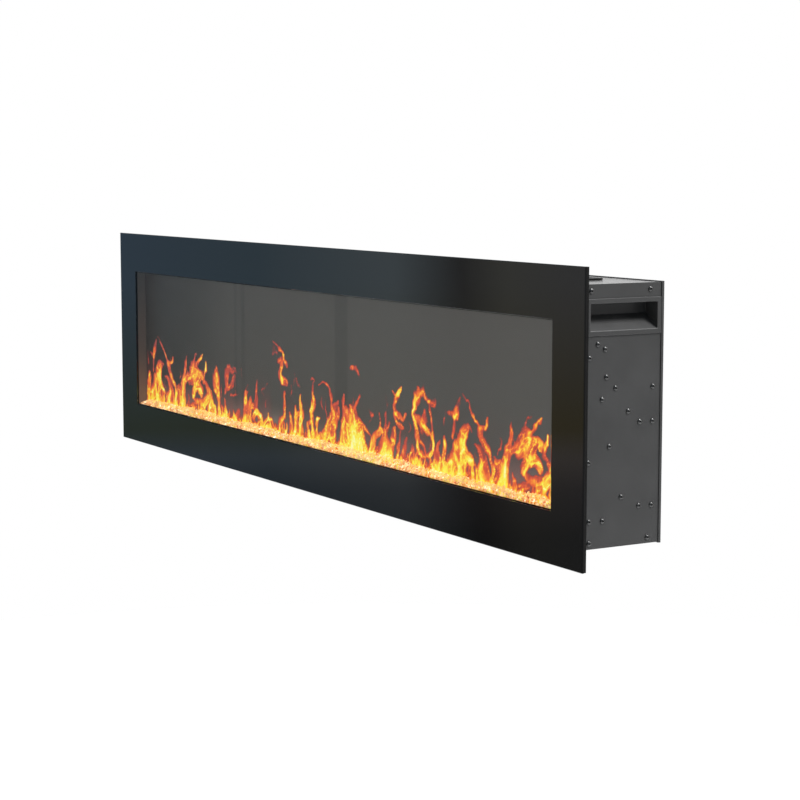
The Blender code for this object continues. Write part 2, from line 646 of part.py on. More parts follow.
# ---------------------------------------------------------------- heater
def build_heater(finish):
    """Shelf over the flame optics with a tangential blower, its motor and the PTC heater."""
    shelf = ((-END_PLATE + FIT, OPTICS_FRONT + FIT, SHELF_LEVEL),
             (END_PLATE - FIT, SHELF_REAR - 0.002, SHELF_LEVEL + INNER_SHEET))
    finish_object("heater_shelf", box_mesh(shelf), finish["galvanised_steel"])

    axis = (BLOWER_DEPTH, BLOWER_HEIGHT)
    wall = FRAME_SHEET
    half = BLOWER_LENGTH / 2 + 0.012
    shaft = 0.003
    low = (-half, BLOWER_FRONT, BAY_BOTTOM)
    high = (half, BLOWER_REAR, INSIDE_TOP)
    housing = finish_object("blower_housing", box_mesh((low, high)), finish["galvanised_steel"])
    inside = ((-half + wall, BLOWER_FRONT - 0.01, BAY_BOTTOM + wall),
              (half - wall, BLOWER_REAR + 0.01, INSIDE_TOP - wall))
    combine(housing, box_mesh(inside), "DIFFERENCE")
    bush_outer = 0.0065
    hole_half = half + 0.01
    hole_radius = bush_outer + FIT
    hole = [(-hole_half, 0), (-hole_half, hole_radius), (hole_half, hole_radius), (hole_half, 0)]
    combine(housing, turned_mesh(axis, hole, ROUND_SIDES), "DIFFERENCE")

    bush = [
        (-half - 0.002 - FIT, shaft + FIT), (-half - 0.002 - FIT, bush_outer + 0.003),
        (-half - FIT, bush_outer + 0.003), (-half - FIT, bush_outer),
        (-half + 0.004, bush_outer), (-half + 0.004, shaft + FIT),
    ]
    finish_object("blower_bush", turned_mesh(axis, bush), finish["white_nylon"], smooth=True)

    rotor_half = BLOWER_LENGTH / 2
    disc = 0.002
    pivot = (0.0, *axis)
    mesh = bmesh.new()
    left = [
        (-half - 0.002, 0), (-half - 0.002, shaft), (-rotor_half, shaft), (-rotor_half, ROTOR_RADIUS),
        (-rotor_half + disc, ROTOR_RADIUS), (-rotor_half + disc, 0),
    ]
    right = [
        (rotor_half - disc, 0), (rotor_half - disc, ROTOR_RADIUS), (rotor_half, ROTOR_RADIUS),
        (rotor_half, shaft), (half + 0.012, shaft), (half + 0.012, 0),
    ]
    add_turned(mesh, axis, left, ROUND_SIDES)
    add_turned(mesh, axis, right, ROUND_SIDES)
    rotor = finish_object("blower_rotor", mesh, finish["galvanised_steel"], pivot, True)
    blades = bmesh.new()
    blade_outer = ROTOR_RADIUS - 0.001
    blade_inner = ROTOR_RADIUS - 0.006
    blade_half = 0.0004
    for index in range(ROTOR_BLADES):
        angle = math.tau * index / ROTOR_BLADES
        turn = Matrix.Rotation(angle, 2)
        corners = [Vector((blade_inner, -blade_half)), Vector((blade_outer, 0.002 - blade_half)),
                   Vector((blade_outer, 0.002 + blade_half)), Vector((blade_inner, blade_half))]
        outline = []
        for corner in corners:
            turned = turn @ corner
            outline.append((BLOWER_DEPTH + turned.x, BLOWER_HEIGHT + turned.y))
        add_prism(blades, outline, "X", -rotor_half + disc / 2, rotor_half - disc / 2)
    combine(rotor, blades, "UNION")

    bore = shaft + FIT
    motor_start = half + FIT
    motor_end = motor_start + 0.034
    can = ROTOR_RADIUS + 0.001
    motor = [
        (motor_start, bore), (motor_start, can), (motor_end - 0.004, can), (motor_end, can - 0.004),
        (motor_end, 0), (half + 0.0126, 0), (half + 0.0126, bore),
    ]
    mesh = bmesh.new()
    add_coupling(mesh, axis, motor, 1, ROUND_SIDES)
    finish_object("blower_motor", mesh, finish["satin_black_steel"], smooth=True)

    duct_front = OPTICS_FRONT + FIT
    duct_low = (-half, duct_front, BAY_BOTTOM)
    duct_high = (half, BLOWER_FRONT - FIT, INSIDE_TOP)
    duct = finish_object("heater_duct", box_mesh((duct_low, duct_high)), finish["galvanised_steel"])
    inside = ((-half + wall, duct_front + wall, BAY_BOTTOM + wall),
              (half - wall, BLOWER_FRONT + 0.01, BODY_HEIGHT))
    combine(duct, box_mesh(inside), "DIFFERENCE")

    core = HEATER_LENGTH / 2
    heater_low = BAY_BOTTOM + wall + FIT
    heater_high = INSIDE_TOP - 0.0096
    heater_rear = BLOWER_FRONT - 0.010
    heater_front = heater_rear - HEATER_THICKNESS
    heater = box_mesh(((-core, heater_front, heater_low + 0.003), (core, heater_rear, heater_high)))
    heater = finish_object("ptc_heater", heater, finish["heater_ceramic"])
    feet = bmesh.new()
    for sign in SIDES.values():
        add_box(feet, (sign * (core - 0.006), heater_front + 0.004, heater_low),
                (sign * (core + 0.012), heater_rear - 0.004, heater_high - 0.004))
    combine(heater, feet, "UNION")

    cutout_axis = (heater_front - 0.006, BLOWER_HEIGHT)
    cutout_start = half + FIT
    cutout = [
        (cutout_start, 0), (cutout_start, 0.011), (cutout_start + 0.002, 0.011),
        (cutout_start + 0.002, 0.008), (cutout_start + 0.011, 0.008), (cutout_start + 0.011, 0),
    ]
    finish_object("thermal_cutout", turned_mesh(cutout_axis, cutout, ROUND_SIDES), finish["black_plastic"],
                  smooth=True)


# ---------------------------------------------------------------- electrics
def build_electrics(finish):
    """Control board, power supply and terminal block on the rear of the reflector."""
    face = REFLECTOR_DEPTH + INNER_SHEET + FIT
    board_end = BOARD_START + 0.160
    board_top = BOARD_LEVEL + 0.100
    board = box_mesh(((BOARD_START, face + 0.005, BOARD_LEVEL), (board_end, face + 0.0066, board_top)))
    board = finish_object("control_board", board, finish["circuit_board"])
    posts = bmesh.new()
    for x in (BOARD_START + 0.006, board_end - 0.006):
        for z in (BOARD_LEVEL + 0.006, board_top - 0.006):
            add_box(posts, (x - 0.003, face, z - 0.003), (x + 0.003, face + 0.0055, z + 0.003))
    for index in range(3):
        x = BOARD_START + 0.025 + index * 0.030
        add_box(posts, (x - 0.009, face + 0.006, BOARD_LEVEL + 0.020),
                (x + 0.009, face + 0.022, BOARD_LEVEL + 0.036))
    combine(board, posts, "UNION")

    supply_start = board_end + 0.040
    supply = box_mesh(((supply_start, face, BOARD_LEVEL),
                       (supply_start + 0.120, face + 0.032, BOARD_LEVEL + 0.060)))
    finish_object("power_supply", supply, finish["galvanised_steel"])
    block_low = BOARD_LEVEL - 0.070
    block = box_mesh(((BOARD_START, face, block_low),
                      (BOARD_START + 0.070, face + 0.014, block_low + 0.022)))
    block = finish_object("terminal_block", block, finish["white_nylon"])
    ways = bmesh.new()
    for index in range(5):
        x = BOARD_START + 0.007 + index * 0.014
        add_box(ways, (x - 0.004, face + 0.012, block_low + 0.005),
                (x + 0.004, face + 0.019, block_low + 0.017))
    combine(block, ways, "UNION")


# ---------------------------------------------------------------- outer shell
def screw_places():
    """Depth and height of the corner screws of one side."""
    near = BODY_FRONT + SCREW_FRONT_INSET
    far = BODY_REAR - SCREW_REAR_INSET
    low = SCREW_LOW_INSET
    high = BODY_HEIGHT - SCREW_HIGH_INSET
    return [(near, low), (far, low), (near, high), (far, high)]


def screw_holes(sign):
    """Clearance holes for one side's corner screws."""
    mesh = bmesh.new()
    radius = SCREW_SHANK + FIT
    for place in screw_places():
        add_turned(mesh, place, [(BODY_HALF - 0.006, 0), (BODY_HALF - 0.006, radius),
                                 (BODY_HALF + 0.002, radius), (BODY_HALF + 0.002, 0)], PIN_SIDES, sign)
    return mesh


def build_shell(finish):
    """Side panels, top cover, bottom pan, back cover, corner screws and the top vent."""
    steel = finish["satin_black_steel"]
    inner_face = BODY_HALF - OUTER_SHEET
    inset = OUTER_SHEET + FIT
    for side, sign in SIDES.items():
        plate = ((sign * inner_face, BODY_FRONT, 0.0), (sign * BODY_HALF, BODY_REAR, BODY_HEIGHT))
        panel = finish_object("side_panel_" + side, box_mesh(plate), steel)
        fold = sign * (inner_face - RETURN_WIDTH)
        root = sign * (inner_face + OUTER_SHEET / 2)
        returns = box_mesh(
            ((fold, BODY_FRONT, inset), (root, BODY_FRONT + OUTER_SHEET, BODY_HEIGHT - inset)),
            ((fold, BODY_REAR - OUTER_SHEET, inset), (root, BODY_REAR, BODY_HEIGHT - inset)))
        combine(panel, returns, "UNION")
        wall = OUTER_SHEET + FIT
        hole = ((sign * (inner_face - 0.003), GRIP_FRONT - wall, GRIP_BOTTOM - wall),
                (sign * (BODY_HALF + 0.003), GRIP_REAR + wall, GRIP_TOP + wall))
        combine(panel, box_mesh(hole), "DIFFERENCE")
        combine(panel, screw_holes(sign), "DIFFERENCE")
        if side == "left":
            combine(panel, rocker_opening(), "DIFFERENCE")
            combine(panel, gland_opening(), "DIFFERENCE")
        build_grip(finish, side, sign)
        for number, place in enumerate(screw_places(), 1):
            under = BODY_HALF + FIT
            screw = [
                (under + SCREW_HEAD_HEIGHT, 0), (under + SCREW_HEAD_HEIGHT * 0.85, SCREW_HEAD * 0.5),
                (under + SCREW_HEAD_HEIGHT * 0.5, SCREW_HEAD * 0.85), (under, SCREW_HEAD),
                (under, SCREW_SHANK), (under - SCREW_LENGTH, SCREW_SHANK), (under - SCREW_LENGTH, 0),
            ]
            mesh = turned_mesh(place, screw, PIN_SIDES, sign)
            finish_object("corner_screw_%s_%d" % (side, number), mesh, finish["black_plastic"], smooth=True)

    build_covers(finish)


def build_grip(finish, side, sign):
    """A grip recess: a flange on the panel and a cup whose floor slopes up to a finger shelf."""
    face = BODY_HALF + FIT
    lip = face + GRIP_PROUD
    frame = ((sign * face, GRIP_FRONT - GRIP_FLANGE, GRIP_BOTTOM - GRIP_FLANGE),
             (sign * lip, GRIP_REAR + GRIP_FLANGE, GRIP_TOP + GRIP_FLANGE))
    cup = finish_object("grip_cup_" + side, box_mesh(frame), finish["satin_black_steel"])
    wall = OUTER_SHEET
    back = BODY_HALF - GRIP_DEPTH
    mouth = face + GRIP_PROUD / 2
    outline = [
        (sign * mouth, GRIP_BOTTOM - wall), (sign * mouth, GRIP_TOP + wall),
        (sign * (back - wall), GRIP_TOP + wall), (sign * (back - wall), GRIP_INNER_BOTTOM - wall * 0.6),
    ]
    combine(cup, prism_mesh(outline, "Y", GRIP_FRONT - wall, GRIP_REAR + wall), "UNION")
    outline = [
        (sign * (lip + 0.002), GRIP_BOTTOM - 0.002 * (GRIP_INNER_BOTTOM - GRIP_BOTTOM) / GRIP_DEPTH),
        (sign * (lip + 0.002), GRIP_TOP),
        (sign * back, GRIP_TOP), (sign * back, GRIP_INNER_BOTTOM),
    ]
    combine(cup, prism_mesh(outline, "Y", GRIP_FRONT, GRIP_REAR), "DIFFERENCE")


def build_covers(finish):
    """Top cover, bottom pan, back cover and the vent strip."""
    steel = finish["satin_black_steel"]
    for name, plate_low, plate_high, flange_low, flange_high in (
            ("top_cover", BODY_HEIGHT - OUTER_SHEET, BODY_HEIGHT,
             BODY_HEIGHT - OUTER_SHEET - FLANGE_HEIGHT, BODY_HEIGHT - OUTER_SHEET / 2),
            ("bottom_pan", 0.0, OUTER_SHEET, OUTER_SHEET / 2, OUTER_SHEET + FLANGE_HEIGHT)):
        plate = ((-INSIDE_HALF, BODY_FRONT, plate_low), (INSIDE_HALF, BODY_REAR, plate_high))
        cover = finish_object(name, box_mesh(plate), steel)
        flanges = bmesh.new()
        for sign in SIDES.values():
            flange_half = INSIDE_HALF - OUTER_SHEET
            add_box(flanges, (sign * flange_half, BODY_FRONT + OUTER_SHEET + FIT, flange_low),
                    (sign * INSIDE_HALF, BODY_REAR - OUTER_SHEET - FIT, flange_high))
        combine(cover, flanges, "UNION")
        for sign in SIDES.values():
            combine(cover, screw_holes(sign), "DIFFERENCE")
        if name == "top_cover":
            combine(cover, vent_bays(), "DIFFERENCE")

    rear = BODY_REAR + FIT
    back_half = BODY_HALF + BACK_LIP
    back_top = BODY_HEIGHT + BACK_LIP
    back = ((-back_half, rear, -BACK_LIP), (back_half, rear + BACK_DEPTH, back_top))
    back = finish_object("back_cover", box_mesh(back), steel)
    hollow = ((BACK_RIM - back_half, BODY_REAR - 0.002, BACK_RIM - BACK_LIP),
              (back_half - BACK_RIM, rear + BACK_DEPTH - OUTER_SHEET, back_top - BACK_RIM))
    combine(back, box_mesh(hollow), "DIFFERENCE")
    slots = bmesh.new()
    for row in range(3):
        height = BODY_HEIGHT - 0.039 + row * 0.012
        for column in range(14):
            x = (column - 6.5) * 0.024
            add_box(slots, (x - 0.009, rear, height - 0.0025), (x + 0.009, rear + 0.010, height + 0.0025))
    for row in range(4):
        height = BOARD_LEVEL + row * 0.012
        for column in range(6):
            x = BOARD_START + 0.020 + column * 0.060
            add_box(slots, (x - 0.020, rear, height - 0.0025), (x + 0.020, rear + 0.010, height + 0.0025))
    combine(back, slots, "DIFFERENCE")

    vent_low = BODY_HEIGHT + FIT
    half = VENT_LENGTH / 2
    grille = ((-half, VENT_FRONT, vent_low), (half, VENT_REAR, vent_low + VENT_THICKNESS))
    grille = finish_object("top_vent_grille", box_mesh(grille), steel)
    slots = bmesh.new()
    column_pitch = (VENT_LENGTH - 0.020) / VENT_COLUMNS
    row_pitch = (VENT_REAR - VENT_FRONT - 0.008) / VENT_ROWS
    for column in range(VENT_COLUMNS):
        for row in range(VENT_ROWS):
            x = (column - (VENT_COLUMNS - 1) / 2) * column_pitch
            y = VENT_FRONT + 0.004 + row_pitch * (row + 0.5)
            length = column_pitch - 0.008
            add_box(slots, (x - length / 2, y - VENT_SLOT / 2, vent_low - 0.002),
                    (x + length / 2, y + VENT_SLOT / 2, vent_low + 0.006))
    combine(grille, slots, "DIFFERENCE")


def vent_bays():
    """Openings in the top cover under the vent strip, with bridges between them."""
    mesh = bmesh.new()
    pitch = (VENT_LENGTH - 0.020) / VENT_BAYS
    for index in range(VENT_BAYS):
        x = (index - (VENT_BAYS - 1) / 2) * pitch
        add_box(mesh, (x - pitch / 2 + 0.006, VENT_FRONT + 0.005, BODY_HEIGHT - 0.005),
                (x + pitch / 2 - 0.006, VENT_REAR - 0.005, BODY_HEIGHT + 0.005))
    return mesh


# ---------------------------------------------------------------- mains switch and cable entry
def rocker_box(inner_x, outer_x, half_size):
    """A box through the left side, centred on the mains switch."""
    return ((-inner_x, ROCKER_DEPTH - half_size[0], ROCKER_HEIGHT - half_size[1]),
            (-outer_x, ROCKER_DEPTH + half_size[0], ROCKER_HEIGHT + half_size[1]))


def rocker_opening():
    """Cut-out in the left panel for the mains switch."""
    half_size = (ROCKER_BODY[0] + FIT, ROCKER_BODY[1] + FIT)
    return box_mesh(rocker_box(BODY_HALF - 0.004, BODY_HALF + 0.003, half_size))


def gland_opening():
    """Hole in the left panel for the cable gland."""
    return turned_mesh((GLAND_DEPTH, GLAND_HEIGHT), [
        (BODY_HALF - 0.004, 0), (BODY_HALF - 0.004, GLAND_STEM + FIT),
        (BODY_HALF + 0.003, GLAND_STEM + FIT), (BODY_HALF + 0.003, 0),
    ], ROUND_SIDES, -1)


def build_mains(finish):
    """Rocker switch and cable gland on the left side panel."""
    face = BODY_HALF + FIT
    lip = face + 0.0018
    inner = BODY_HALF - 0.014
    housing = finish_object("rocker_housing", box_mesh(rocker_box(face, lip, ROCKER_BEZEL)),
                            finish["black_plastic"])
    combine(housing, box_mesh(rocker_box(inner, face + 0.0005, ROCKER_BODY)), "UNION")
    combine(housing, box_mesh(rocker_box(inner + 0.002, lip + 0.002, ROCKER_WELL)), "DIFFERENCE")

    pivot_x = BODY_HALF - 0.0010
    pin = 0.0012
    pin_half = ROCKER_WELL[0] + 0.001
    bores = bmesh.new()
    add_pin(bores, pivot_x, pin + FIT, pin_half + FIT)
    combine(housing, bores, "DIFFERENCE")

    shape = [
        (0.0024, 0.0), (0.0046, 0.0064), (-0.0030, 0.0062),
        (-0.0052, 0.0), (-0.0030, -0.0062), (0.0046, -0.0064),
    ]
    turn = Matrix.Rotation(-ROCKER_TRAVEL / 2, 2)
    outline = []
    for corner in shape:
        turned = turn @ Vector(corner)
        outline.append((-(pivot_x + turned.x), ROCKER_HEIGHT + turned.y))
    half = ROCKER_WELL[0] - 0.0006
    mesh = prism_mesh(outline, "Y", ROCKER_DEPTH - half, ROCKER_DEPTH + half)
    pivot = (-pivot_x, ROCKER_DEPTH, ROCKER_HEIGHT)
    rocker = finish_object("power_rocker", mesh, finish["rocker_black"], pivot)
    pins = bmesh.new()
    add_pin(pins, pivot_x, pin, pin_half)
    combine(rocker, pins, "UNION")

    bore = 0.004
    gland = [
        (face - 0.014, bore), (face - 0.014, GLAND_STEM), (face, GLAND_STEM), (face, 0.012),
        (face + 0.005, 0.012), (face + 0.007, 0.0095), (face + 0.014, 0.0075), (face + 0.014, bore),
    ]
    mesh = turned_mesh((GLAND_DEPTH, GLAND_HEIGHT), gland, ROUND_SIDES, -1)
    finish_object("cable_gland", mesh, finish["black_plastic"], smooth=True)


def add_pin(mesh, pivot_x, radius, half):
    """A round pin along Y through the mains switch's pivot."""
    centre = Matrix.Translation((-pivot_x, ROCKER_DEPTH, ROCKER_HEIGHT))
    place = centre @ Matrix.Rotation(math.pi / 2, 4, "X")
    bmesh.ops.create_cone(mesh, cap_ends=True, segments=PIN_SIDES, radius1=radius, radius2=radius,
                          depth=2 * half, matrix=place)


def main():
    """Clear the scene and build every piece."""
    for item in list(bpy.data.objects):
        bpy.data.objects.remove(item, do_unlink=True)
    finish = make_materials()
    build_front(finish)
    build_chamber(finish)
    build_flame_optics(finish)
    build_spindles(finish)
    build_heater(finish)
    build_electrics(finish)
    build_shell(finish)
    build_mains(finish)


main()
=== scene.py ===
"""Looks of the recessed electric fireplace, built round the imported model.

The black glass front, the flame screen, the bed of crushed crystal and the sheet-metal body each
have a class. Lengths are in metres unless a name says mm.
"""
import json
import logging
import math
from dataclasses import dataclass
from enum import Enum
from typing import Any, Iterable

import bmesh
import bpy
import numpy as np
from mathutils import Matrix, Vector


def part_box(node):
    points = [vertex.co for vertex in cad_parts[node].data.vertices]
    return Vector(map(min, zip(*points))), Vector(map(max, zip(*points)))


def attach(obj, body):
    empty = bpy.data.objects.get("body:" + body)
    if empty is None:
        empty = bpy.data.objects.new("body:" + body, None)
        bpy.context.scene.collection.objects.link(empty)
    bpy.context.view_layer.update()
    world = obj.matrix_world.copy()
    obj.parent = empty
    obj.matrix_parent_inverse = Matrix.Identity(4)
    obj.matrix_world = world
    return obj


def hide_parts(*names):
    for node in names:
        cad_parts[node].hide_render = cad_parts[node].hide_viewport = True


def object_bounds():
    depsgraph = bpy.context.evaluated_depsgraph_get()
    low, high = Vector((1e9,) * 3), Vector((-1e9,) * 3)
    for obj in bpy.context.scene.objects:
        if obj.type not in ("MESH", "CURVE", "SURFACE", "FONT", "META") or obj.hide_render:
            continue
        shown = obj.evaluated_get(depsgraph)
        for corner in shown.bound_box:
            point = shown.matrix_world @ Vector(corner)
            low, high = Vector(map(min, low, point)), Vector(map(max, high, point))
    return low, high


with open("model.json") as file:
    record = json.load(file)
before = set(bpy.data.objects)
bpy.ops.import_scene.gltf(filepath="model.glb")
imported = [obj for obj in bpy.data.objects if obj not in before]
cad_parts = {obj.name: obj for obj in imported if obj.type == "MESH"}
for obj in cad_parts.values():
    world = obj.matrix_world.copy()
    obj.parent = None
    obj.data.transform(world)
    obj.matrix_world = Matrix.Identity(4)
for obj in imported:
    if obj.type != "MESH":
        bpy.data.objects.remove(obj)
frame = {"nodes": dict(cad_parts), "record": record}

CAD_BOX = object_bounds()
MM = 0.001
BORDER = 0.086                                       # width of the black border round the window
WINDOW_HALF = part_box("front_glass")[1][0] - BORDER
WINDOW_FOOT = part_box("front_glass")[0][2] + BORDER   # height of the window's lower edge
log = logging.getLogger("fireplace")


class Side(Enum):
    """The two ends of the body, as the sign of X."""

    LEFT = -1
    RIGHT = 1


# ---------------------------------------------------------------- colours and nodes
def linear(hex_colour: str) -> tuple[float, float, float, float]:
    """Turn an sRGB hex colour into linear RGBA.

    Args:
        hex_colour: Six hex digits with a leading hash.

    Returns:
        Red, green, blue and an alpha of one.
    """
    values = []
    for start in (1, 3, 5):
        channel = int(hex_colour[start:start + 2], 16) / 255
        values.append(channel / 12.92 if channel <= 0.04045 else ((channel + 0.055) / 1.055) ** 2.4)
    return (*values, 1.0)


def feed(tree: Any, node: Any, inputs: dict) -> None:
    """Set or link a node's inputs.

    Args:
        tree: The node tree.
        node: The node.
        inputs: Socket names or numbers, each with a value or an output socket to link from.
    """
    for name, value in inputs.items():
        if isinstance(value, bpy.types.NodeSocket):
            tree.links.new(value, node.inputs[name])
        else:
            node.inputs[name].default_value = value


def add_node(tree: Any, kind: str, inputs: dict | None = None, **settings: Any) -> Any:
    """Add one node with its settings, values and links.

    Args:
        tree: The node tree.
        kind: The node's type name.
        inputs: Socket names or numbers, each with a value or an output socket to link from.
        settings: Attributes of the node.

    Returns:
        The new node.
    """
    node = tree.nodes.new(kind)
    for name, value in settings.items():
        setattr(node, name, value)
    feed(tree, node, inputs or {})
    return node


def fill_ramp(ramp: Any, stops: Iterable[tuple[float, str]]) -> None:
    """Set a colour ramp's stops.

    Args:
        ramp: The ColorRamp node.
        stops: Pairs of position and hex colour, in order.
    """
    stops = list(stops)
    elements = ramp.color_ramp.elements
    while len(elements) < len(stops):
        elements.new(0.5)
    for element, (position, colour) in zip(elements, stops):
        element.position = position
        element.color = linear(colour)


class Finish:
    """A named material that is made once and then shared."""

    made: dict[str, Any] = {}
    name = "finish"

    def material(self) -> Any:
        """Make the finish's material the first time, and share it afterwards.

        Returns:
            The material.
        """
        if self.name not in Finish.made:
            made = bpy.data.materials.new(self.name)
            made.use_nodes = True
            tree = made.node_tree
            self.dress(tree, tree.nodes["Principled BSDF"])
            Finish.made[self.name] = made
        return Finish.made[self.name]

    def dress(self, tree: Any, shader: Any) -> None:
        """Add the finish's nodes; each finish has its own."""
        raise NotImplementedError

    def surface(self, tree: Any, shader: Any, tones: tuple | None = None, gloss: tuple | None = None,
                relief: tuple | None = None) -> None:
        """Let patterns move the colour, the gloss and the relief of a surface.

        Args:
            tree: The node tree.
            shader: The Principled shader.
            tones: A pattern's output and the two hex colours that it moves between.
            gloss: A pattern's output and the two roughness values that it moves between.
            relief: A pattern's output, its depth in mm and how strongly it shows.
        """
        if tones:
            factor, first, second = tones
            mixed = add_node(tree, "ShaderNodeMix", {0: factor, 6: linear(first), 7: linear(second)},
                             data_type="RGBA")
            feed(tree, shader, {"Base Color": mixed.outputs[2]})
        if gloss:
            feed(tree, shader, {"Roughness": spread(tree, *gloss)})
        if relief:
            height, depth_mm, strength = relief
            node = add_node(tree, "ShaderNodeBump", {
                "Height": height, "Distance": depth_mm * MM, "Strength": strength})
            feed(tree, shader, {"Normal": node.outputs[0]})


def object_point(tree: Any) -> Any:
    """Return the Object coordinate output, in metres from the part's origin."""
    return add_node(tree, "ShaderNodeTexCoord").outputs["Object"]


def grain(tree: Any, spacing_mm: float, detail: float = 2.0) -> Any:
    """Add noise whose features are spacing_mm apart.

    Args:
        tree: The node tree.
        spacing_mm: Distance between two features.
        detail: Octaves of finer noise.

    Returns:
        The noise's value output.
    """
    noise = add_node(tree, "ShaderNodeTexNoise", {
        "Vector": object_point(tree), "Scale": 1 / (spacing_mm * MM), "Detail": detail, "Roughness": 0.55})
    return noise.outputs[0]


def spread(tree: Any, value: Any, low: float, high: float) -> Any:
    """Stretch the middle of a pattern's value over the range low to high."""
    node = add_node(tree, "ShaderNodeMapRange", {
        "Value": value, "From Min": 0.3, "From Max": 0.7, "To Min": low, "To Max": high})
    return node.outputs[0]


@dataclass(frozen=True)
class PowderCoat(Finish):
    """Baked polyester powder on steel: a satin skin with a fine orange peel that softens every highlight."""

    name: str = "satin_powder_coated_steel"
    colour: str = "#3d3d3d"
    shade: str = "#373737"
    peel_mm: float = 2.2
    roughness: float = 0.42
    skin: float = 0.45
    shine: float = 0.5

    def dress(self, tree: Any, shader: Any) -> None:
        """Put orange peel in the relief and a slight unevenness in colour and gloss.

        Args:
            tree: The node tree.
            shader: The Principled shader.
        """
        cloud = grain(tree, 60.0)
        self.surface(tree, shader, (cloud, self.shade, self.colour),
                     (cloud, self.roughness - 0.04, self.roughness + 0.05),
                     (grain(tree, self.peel_mm, 3.0), 0.05, 0.5))
        feed(tree, shader, {
            "Coat Weight": self.skin, "Coat Roughness": 0.14, "Specular IOR Level": self.shine})


@dataclass(frozen=True)
class BackPaintedGlass(Finish):
    """Tempered float glass with black paint behind it: a deep, even, mirror-like black."""

    name: str = "back_painted_black_glass"
    colour: str = "#050506"
    roughness: float = 0.02
    roller_wave_mm: float = 260.0

    def dress(self, tree: Any, shader: Any) -> None:
        """Give it the very long, shallow wave that tempering leaves, which only reflections show.

        Args:
            tree: The node tree.
            shader: The Principled shader.
        """
        feed(tree, shader, {"Base Color": linear(self.colour), "IOR": 1.52})
        self.surface(tree, shader, gloss=(grain(tree, 90.0), self.roughness, self.roughness + 0.03),
                     relief=(grain(tree, self.roller_wave_mm, 0.0), 0.25, 0.6))


@dataclass(frozen=True)
class ClearGlass(Finish):
    """Low-iron clear float glass with an anti-glare coat, so that it mirrors less than the black front."""

    name: str = "clear_float_glass"
    tint: str = "#f8faf9"

    def dress(self, tree: Any, shader: Any) -> None:
        """Fully transmitting; the coat is a lower index of refraction."""
        feed(tree, shader, {
            "Base Color": linear(self.tint), "Transmission Weight": 1.0, "IOR": 1.1, "Roughness": 0.0})


